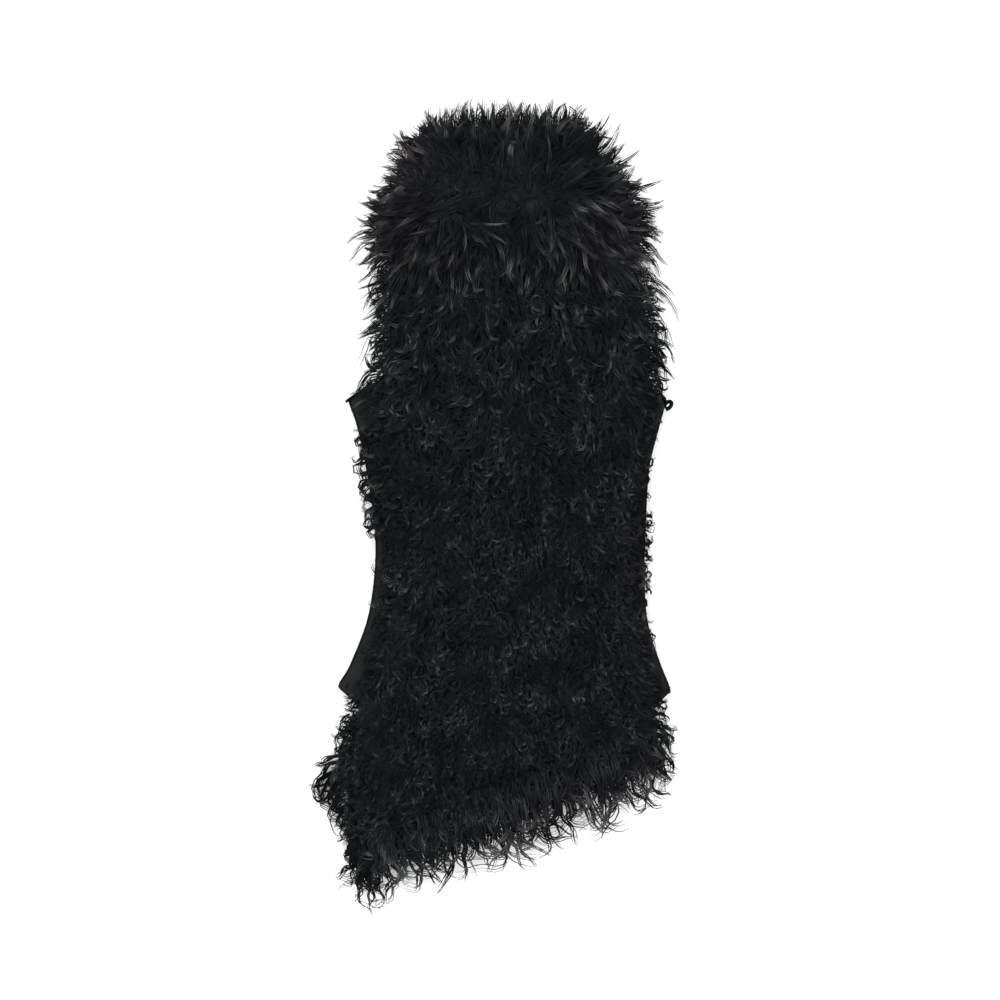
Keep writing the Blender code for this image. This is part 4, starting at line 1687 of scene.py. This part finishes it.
@dataclass
class Collar:
    """The funnel collar: both halves' skins and their straighter, combed-out locks.

    Attributes:
        outline: the garment's outline.
        parting: half the length of the line along which the wool parts.
        middle: the middle of that line.
        hollow: half axes of the hollow round it, where the wool is darkened as painted shade.
        bare: half axes of the oval in which no lock stands out.
        ruffle: how far the wool strays from the parting's lay, as a length.
        spacing: distance between locks.
        depth: how far below the wool's face a lock is rooted.
        feature_spacing: distance between the longer locks that stand out from the rest.
        rim_spacing: distance between the locks round the rim.
        rim_inset: how far inside the rim they are rooted.
        rim_sink: how far below the wool's face they are rooted.
        rim_light: their share of the usual lightness, raised as painted light on the fine tips.
        lit_from: where the painted light on the upper rim begins.
        lit_over: the length over which it sets in.
        top: the upper rim.
        low: the lower rim.
        left: the left half.
        high: the shoulders and all above them.
        tips: the height of the two lower tips.
        tips_aside: how far from the middle the tips begin.
        style: the locks of the wool.
        rim_style: locks round the rim.
        top_style: fine locks of the upper rim.
        feature_style: the locks that stand out.
        back_spacing: distance between the pressed locks of the back half.
        back_rim_spacing: distance between the locks round its rim.
        back_style: the pressed locks.
    """

    outline: Outline
    parting: float = 0.055
    middle: tuple[float, float] = (0.004, 0.366)
    hollow: tuple[float, float] = (0.11, 0.06)
    bare: tuple[float, float] = (0.07, 0.035)
    ruffle: float = 0.026
    spacing: float = 0.0098
    depth: float = 0.018
    feature_spacing: float = 0.0165
    rim_spacing: float = 0.0080
    rim_inset: float = 0.010
    rim_sink: float = 0.003
    rim_light: float = 2.8
    lit_from: float = 0.415
    lit_over: float = 0.03
    top: Zone = Zone(low=0.44)
    low: Zone = Zone(high=0.295)
    left: Zone = Zone(right=0.0)
    high: Zone = Zone(low=0.335)
    tips: Zone = Zone(high=0.315)
    tips_aside: float = 0.095
    style: LockStyle = LockStyle(strands=7, length=0.052, width=0.0006, rings=5, bend=0.6, turns=0.5,
                                 curl=0.0028, hook=0.1, coil=0.12, spread=0.0056, gather=0.85, stray=0.5,
                                 uneven=0.5, reach=0.0, shades=(1.3, 2.2))
    rim_style: LockStyle = LockStyle(strands=10, length=0.056, width=0.00036, rings=7, bend=0.5, turns=0.5,
                                     curl=0.0022, hook=0.1, coil=0.05, spread=0.0060, gather=0.85, stray=0.5,
                                     reach=0.012)
    top_style: LockStyle = LockStyle(strands=14, length=0.046, width=0.0003, rings=5, bend=0.5, turns=0.5,
                                     curl=0.0022, hook=0.1, coil=0.06, spread=0.0078, gather=0.35, stray=0.5,
                                     reach=0.007, shades=(2.0, 2.2))
    feature_style: LockStyle = LockStyle(strands=6, length=0.050, width=0.0006, rings=7, bend=0.5, turns=0.45,
                                         curl=0.0030, hook=0.1, coil=0.08, spread=0.0046, gather=0.60, stray=0.3,
                                         shades=(3.0, 3.0))
    back_spacing: float = 0.021
    back_rim_spacing: float = 0.009
    back_style: LockStyle = LockStyle(strands=4, length=0.040, width=0.0014, rings=4, bend=0.4, turns=0.3,
                                      curl=0.0045, coil=0.05, spread=0.0060, past=-0.012)

    def build(self, wool: Material, hide: Material) -> Piece:
        """Build both halves.

        Args:
            wool: the wool's finish.
            hide: the skin's finish.

        Returns:
            The front half's skin.
        """
        front = Skin("collar_front", "collar_front_skin", settle=0.004).build(hide)
        back = Skin("collar_back", "collar_back_skin", facing=Facing.DOWN, sink=0.4, settle=0.002).build(hide)
        relief = Relief(("collar_front",), softness=0.03)
        under = Relief(("collar_back",), Facing.DOWN)
        lay_sheet(front, relief, "front_skin", [self.combed(relief, wool)])
        lay_sheet(back, under, "floor", [self.pressed(under, wool)])
        return front

    def lay(self, plan: Array) -> Array:
        """Directions away from the parting.

        Args:
            plan: points in plan.

        Returns:
            Unit directions.
        """
        away = plan - np.array(self.middle)
        away[:, 0] -= self.parting * np.tanh(away[:, 0] / self.parting)
        ruffle = np.stack([Swirl(51, 0.03, 0.08).at(plan), Swirl(52, 0.03, 0.08).at(plan)], axis=1)
        return unit(away + self.ruffle * ruffle)

    def far(self, plan: Array, oval: tuple[float, float]) -> Array:
        """How far points are from the parting's middle, as shares of an oval's half axes."""
        return np.hypot(*((plan - np.array(self.middle)) / np.array(oval)).T)

    def combed(self, relief: Relief, material: Material) -> Piece:
        """Cover the front half with locks that part in the middle and point outwards.

        Args:
            relief: the front half's wool face.
            material: the wool's finish.

        Returns:
            The wool.
        """
        chance = np.random.default_rng(41)
        fleece = Fleece("collar_wool", 140, self.outline)
        plan = relief.scatter(self.spacing, chance)
        locks = rooted(plan, relief, self.lay(plan), self.depth, chance, lean=0.8, splay=0.40)
        # The wool is shorter and, as painted shade, darker in the hollow round the parting.
        far = self.far(plan, self.hollow)
        locks.length = 0.6 + 0.4 * soft_step(far)
        # Painted light: the upper rim's wool is made lighter, as if lit through its fine tips.
        lit = soft_step((plan[:, 1] - self.lit_from) / self.lit_over)
        locks.light = 0.20 + 1.75 * soft_step(0.75 * far - 0.20) + 1.8 * lit
        fleece.grow(locks, self.style)
        plan = relief.scatter(self.feature_spacing, chance)
        locks = rooted(plan, relief, self.lay(plan), 0.5 * self.depth, chance, lean=1.1, splay=0.30)
        locks.light = 1.0 + 0.7 * Swirl(74, 0.04, 0.09).at(plan)
        fleece.grow(locks.kept((self.far(plan, self.bare) > 1.0) & (locks.light > 0.6)), self.feature_style)
        self.grow_rim(fleece, relief, chance)
        return fleece.build(material, ("collar_locks_left", "collar_locks_top", "collar_locks_right"))

    def grow_rim(self, fleece: Fleece, relief: Relief, chance: np.random.Generator) -> None:
        """Let fine locks stand out round the front half.

        Args:
            fleece: the collar's wool.
            relief: the front half's wool face.
            chance: the draw.
        """
        edge = relief.rim(self.rim_spacing, self.rim_inset, chance)
        outwards = relief.outwards(edge)
        top, low, left, high, tips = (
            zone.holds(edge) for zone in (self.top, self.low, self.left, self.high, self.tips))
        shoulder = high & ~low & ~top
        corner = tips & (np.abs(edge[:, 0] - self.middle[0]) > self.tips_aside)
        rest = ~low & ~top & ~shoulder & ~corner
        lay = unit(0.5 * outwards + 0.5 * self.lay(edge) + chance.normal(0.0, 0.14, (len(edge), 2))
                   + np.outer(corner, 0.8 * TO_HEM))
        rise = unit(in_space(outwards) + 0.2 * UP)
        # Painted light: the rim's fine locks are made lighter than the rest.
        locks = Locks(relief.on_face(edge, -self.rim_sink), rise, unit(in_space(lay) - 0.20 * UP),
                      light=np.array([self.rim_light]))
        for places, past, length in ((corner & left, 0.004, 0.066), (corner & ~left, 0.008, 0.066),
                                     (low & ~corner, 0.012, 0.056), (shoulder & left, -0.009, 0.056),
                                     (shoulder & ~left, 0.012, 0.056), (rest, 0.0, 0.056)):
            fleece.grow(locks.kept(places), replace(self.rim_style, past=past, length=length))
        fleece.grow(locks.kept(top), self.top_style)

    def pressed(self, relief: Relief, material: Material) -> Piece:
        """Wool of the back half, pressed flat.

        Args:
            relief: the back half's underside.
            material: the wool's finish.

        Returns:
            The wool.
        """
        chance = np.random.default_rng(42)
        plan = relief.scatter(self.back_spacing, chance)
        lay = in_space(self.lay(plan))
        roots = relief.on_face(plan, chance.uniform(0.001, 0.006, len(plan)))
        fleece = Fleece("collar_back_wool", 141, self.outline)
        fleece.grow(Locks(roots, lay, lay), self.back_style)
        edge = relief.rim(self.back_rim_spacing, self.rim_inset, chance)
        outwards = in_space(relief.outwards(edge))
        roots = np.column_stack([edge, chance.uniform(0.006, 0.026, len(edge))])
        fine = replace(self.back_style, strands=7, length=0.026, width=0.0006, rings=5, curl=0.0020, past=0.0)
        fleece.grow(Locks(roots, outwards, outwards), fine)
        return fleece.build(material)


@dataclass
class SidePanel:
    """A stretch side panel: one cloth folded lengthwise, with soft creases fanning from the waist.

    Attributes:
        side: its side of the garment.
        leaf: widest leaf of the folded cloth.
        lower: the height under which the fold's lower tip lies.
        tip: how far round that tip the cloth is drawn.
        draw: how far the left one's tip is drawn out.
        blunt: length over which a tip is blunted.
        blunting: how strongly it is.
        blunt_within: how far round the tip, as a share of tip.
        creases: soft troughs as (middle along the panel, slant, half width, depth).
    """

    side: Side
    leaf: float = 0.058
    lower: float = -0.10
    tip: float = 0.015
    draw: float = 0.0035
    blunt: float = 0.009
    blunting: float = 0.45
    blunt_within: float = 1.4
    creases: tuple[tuple[float, float, float, float], ...] = (
        (0.080, 0.9, 0.010, 0.0007), (0.035, 0.6, 0.012, 0.0008), (-0.020, 0.3, 0.009, 0.0006),
        (-0.075, -0.2, 0.011, 0.0008), (-0.130, -0.6, 0.010, 0.0007), (-0.180, -0.9, 0.012, 0.0009))

    def build(self, material: Material) -> Piece:
        """Refine the folded solid and press its creases in.

        Args:
            material: the cloth's finish.

        Returns:
            The cloth.
        """
        node = f"side_panel_{self.side.word}"
        piece = copy_of_solid(node, f"{node}_cloth")
        with all_selected():
            bpy.ops.mesh.tris_convert_to_quads(face_threshold=math.radians(40), shape_threshold=math.radians(60))
            bpy.ops.mesh.subdivide(number_cuts=2)
        places = points_of(piece)
        outer = np.abs(places[:, 0])
        for middle, slant, width, depth in self.creases:
            line = places[:, 1] - middle - slant * (outer - outer.mean())
            places[:, 2] -= depth * np.exp(-(line / width) ** 2)
        sign = float(self.side.value)
        lower = np.flatnonzero(places[:, 1] < self.lower)
        corner = places[lower[(places[lower, 0] * sign).argmax()], :2]
        near = np.hypot(*(places[:, :2] - corner).T) / self.tip
        places[:, 0] += sign * (self.draw if self.side is Side.LEFT else 0.0) * np.exp(-near**2)
        start = corner[0] * sign + self.draw - self.blunt
        out = np.clip((places[:, 0] * sign - start) / self.blunt, 0.0, None) * (near < self.blunt_within)
        places[:, 0] -= sign * self.blunt * self.blunting * out**2
        move_points(piece, places)
        self.mark_edges(piece, places)
        piece.data.shade_smooth()
        piece.data.set_sharp_from_angle(angle=math.radians(60))
        low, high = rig.box(node)
        surface = sum(face.area for face in piece.data.polygons) / 2.0
        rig.sheet(piece, flat=(2.0 * self.leaf, high.y - low.y), held="folded", rests_on=["back_skin"],
                 area=min(surface, 2.0 * self.leaf * (high.y - low.y)))
        return take(piece, Slot.CLOTH, material, (node,))

    @staticmethod
    def mark_edges(piece: Piece, places: Array) -> None:
        """Store every point's distance in plan from the cloth's folds and edges, which places the painted shade along
        them.

        Args:
            piece: the cloth.
            places: its points.
        """
        normals = np.empty(places.size)
        piece.data.vertices.foreach_get("normal", normals)
        rim = places[np.abs(normals.reshape(-1, 3)[:, 2]) < 0.9, :2]
        gaps = [np.hypot(*(rim - place).T).min() for place in places[:, :2]]
        layer = piece.data.attributes.new("inset", "FLOAT", "POINT")
        layer.data.foreach_set("value", np.array(gaps, dtype=np.float32))


@dataclass
class ArmholeBinding:
    """The rolled edge of an armhole, rounded from its solid.

    Attributes:
        side: its side of the garment.
        rounding: levels of subdivision.
        filling: how far the left and the right roll are filled out again, to close on the panel's edge.
        loop: width of the loop at the right one's tip.
        tuck: how far that loop is drawn back to the tip.
        ease: length over which the tuck sets in.
    """

    side: Side
    rounding: int = 2
    filling: tuple[float, float] = (0.0008, 0.0015)
    loop: float = 0.0092
    tuck: float = 0.0034
    ease: float = 0.003

    def build(self, material: Material) -> Piece:
        """Round the solid's tube.

        Args:
            material: the binding's finish.

        Returns:
            The binding.
        """
        node = f"armhole_binding_{self.side.word}"
        piece = copy_of_solid(node, f"{node}_roll")
        with all_selected():
            bpy.ops.mesh.tris_convert_to_quads(face_threshold=math.radians(40), shape_threshold=math.radians(60))
        smooth = piece.modifiers.new("rounding", "SUBSURF")
        smooth.levels = self.rounding
        smooth.render_levels = self.rounding
        bpy.ops.object.modifier_apply(modifier=smooth.name)
        with all_selected():
            bpy.ops.transform.shrink_fatten(value=self.filling[self.side is Side.RIGHT])
        if self.side is Side.RIGHT:
            places = points_of(piece)
            within = (places[:, 0] - places[:, 0].max() + self.loop) / self.ease + 1.0
            places[:, 0] -= self.tuck * soft_step(within)
            move_points(piece, places)
        piece.data.shade_smooth()
        return take(piece, Slot.BINDING, material, (node,))


@dataclass(frozen=True)
class Lamp:
    """A soft round lamp that shines on the garment's middle.

    Attributes:
        name: its name.
        place: where it hangs.
        size: its diameter.
        power: its power in watts.
    """

    name: str
    place: tuple[float, float, float]
    size: float
    power: float

    def hang(self) -> None:
        """Add the lamp to the scene."""
        lamp = bpy.data.lights.new(self.name, "AREA")
        lamp.shape = "DISK"
        lamp.size = self.size
        lamp.energy = self.power
        holder = bpy.data.objects.new(self.name, lamp)
        holder.location = self.place
        holder.rotation_euler = (-Vector(self.place)).to_track_quat("-Z", "Y").to_euler()
        bpy.context.scene.collection.objects.link(holder)


@dataclass
class Studio:
    """White sweep, soft light and a camera that looks straight down.

    Attributes:
        floor: side of the floor.
        frame_width: width of the picture at the level of the wool.
        aim: point that the picture is centred on.
        lens: focal length in millimetres.
        sensor: width of the sensor in millimetres.
        sky: strength of the surrounding light.
        lamps: the broad lamp to the upper left and a weaker one across from it.
    """

    floor: float = 12.0
    frame_width: float = 1.2
    aim: tuple[float, float, float] = (0.0014, 0.0018, 0.030)
    lens: float = 200.0
    sensor: float = 36.0
    sky: float = 1.38
    lamps: tuple[Lamp, ...] = (Lamp("key_lamp", (-0.9, 1.1, 2.3), 1.8, 36.0),
                               Lamp("fill_lamp", (1.4, -0.4, 2.4), 1.8, 22.0))

    def build(self) -> None:
        """Set up the floor, the light and the camera."""
        self.lay_floor()
        self.light()
        self.shoot()

    def lay_floor(self) -> None:
        """Lay a plain white floor under the garment."""
        bpy.ops.object.select_all(action="DESELECT")
        bpy.ops.mesh.primitive_plane_add(size=self.floor, location=(0.0, 0.0, 0.0))
        sheet = bpy.context.object
        sheet.name = "floor"
        sheet.data.materials.append(PaperFinish().material())
        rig.stage(sheet)

    def light(self) -> None:
        """Fill the room with soft white and hang the lamps."""
        world = bpy.data.worlds.new("soft_room")
        world.use_nodes = True
        world.node_tree.nodes["Background"].inputs["Color"].default_value = WHITE
        world.node_tree.nodes["Background"].inputs["Strength"].default_value = self.sky
        bpy.context.scene.world = world
        for lamp in self.lamps:
            lamp.hang()

    def shoot(self) -> None:
        """Place the camera over the garment, with the collar at the top of the picture."""
        lens = bpy.data.cameras.new("photo_camera")
        lens.lens = self.lens
        lens.sensor_width = self.sensor
        lens.dof.use_dof = False
        holder = bpy.data.objects.new("photo_camera", lens)
        distance = self.frame_width * self.lens / self.sensor
        holder.location = (self.aim[0], self.aim[1], self.aim[2] + distance)
        bpy.context.scene.collection.objects.link(holder)
        bpy.context.scene.camera = holder
        bpy.context.scene.view_settings.view_transform = "Standard"


def write_sizes() -> None:
    """Write the solids' box and the dressed part's box."""
    boxes = {"cad": CAD_BOX, "visual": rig.bounds()}
    SIZE_FILE.write_text(json.dumps({name: [list(corner) for corner in box] for name, box in boxes.items()}))


def main() -> None:
    """Set up the studio and build the garment in it, piece by piece."""
    logging.basicConfig(level=logging.INFO, format="%(name)s %(message)s")
    # Both wools carry a painted highlight band along their strands; the combed one's lies nearer the tips.
    wool = WoolFinish().material()
    combed = WoolFinish("combed_black_wool", (0.0031, 0.0038, 0.0045, 1.0), (0.0051, 0.0059, 0.0067, 1.0),
                        (0.0222, 0.0228, 0.0236, 1.0), (0.0600, 0.0598, 0.0606, 1.0),
                        crown=((0.0, 0.0), (0.42, 0.15), (0.74, 1.0), (1.0, 0.60)),
                        cool_cast=(0.95, 1.00, 1.03, 1.0), warm_cast=(1.12, 0.96, 1.04, 1.0)).material()
    hide = SkinFinish().material()
    cloth = StretchFinish().material()
    edging = BindingFinish().material()
    Studio().build()
    outline = Outline(tuple(frame["nodes"]), margin=0.09)
    BodyBack(outline).build(combed, hide)
    BodyFront(outline).build(wool, combed, hide)
    Collar(outline).build(combed, hide)
    for side in Side:
        SidePanel(side).build(cloth)
        ArmholeBinding(side).build(edging)
    bpy.context.view_layer.update()
    total = sum(sum(len(face.vertices) - 2 for face in piece.data.polygons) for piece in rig.pieces())
    LOG.info("triangles in all: %d", total)
    write_sizes()


if __name__ == "__main__":
    main()
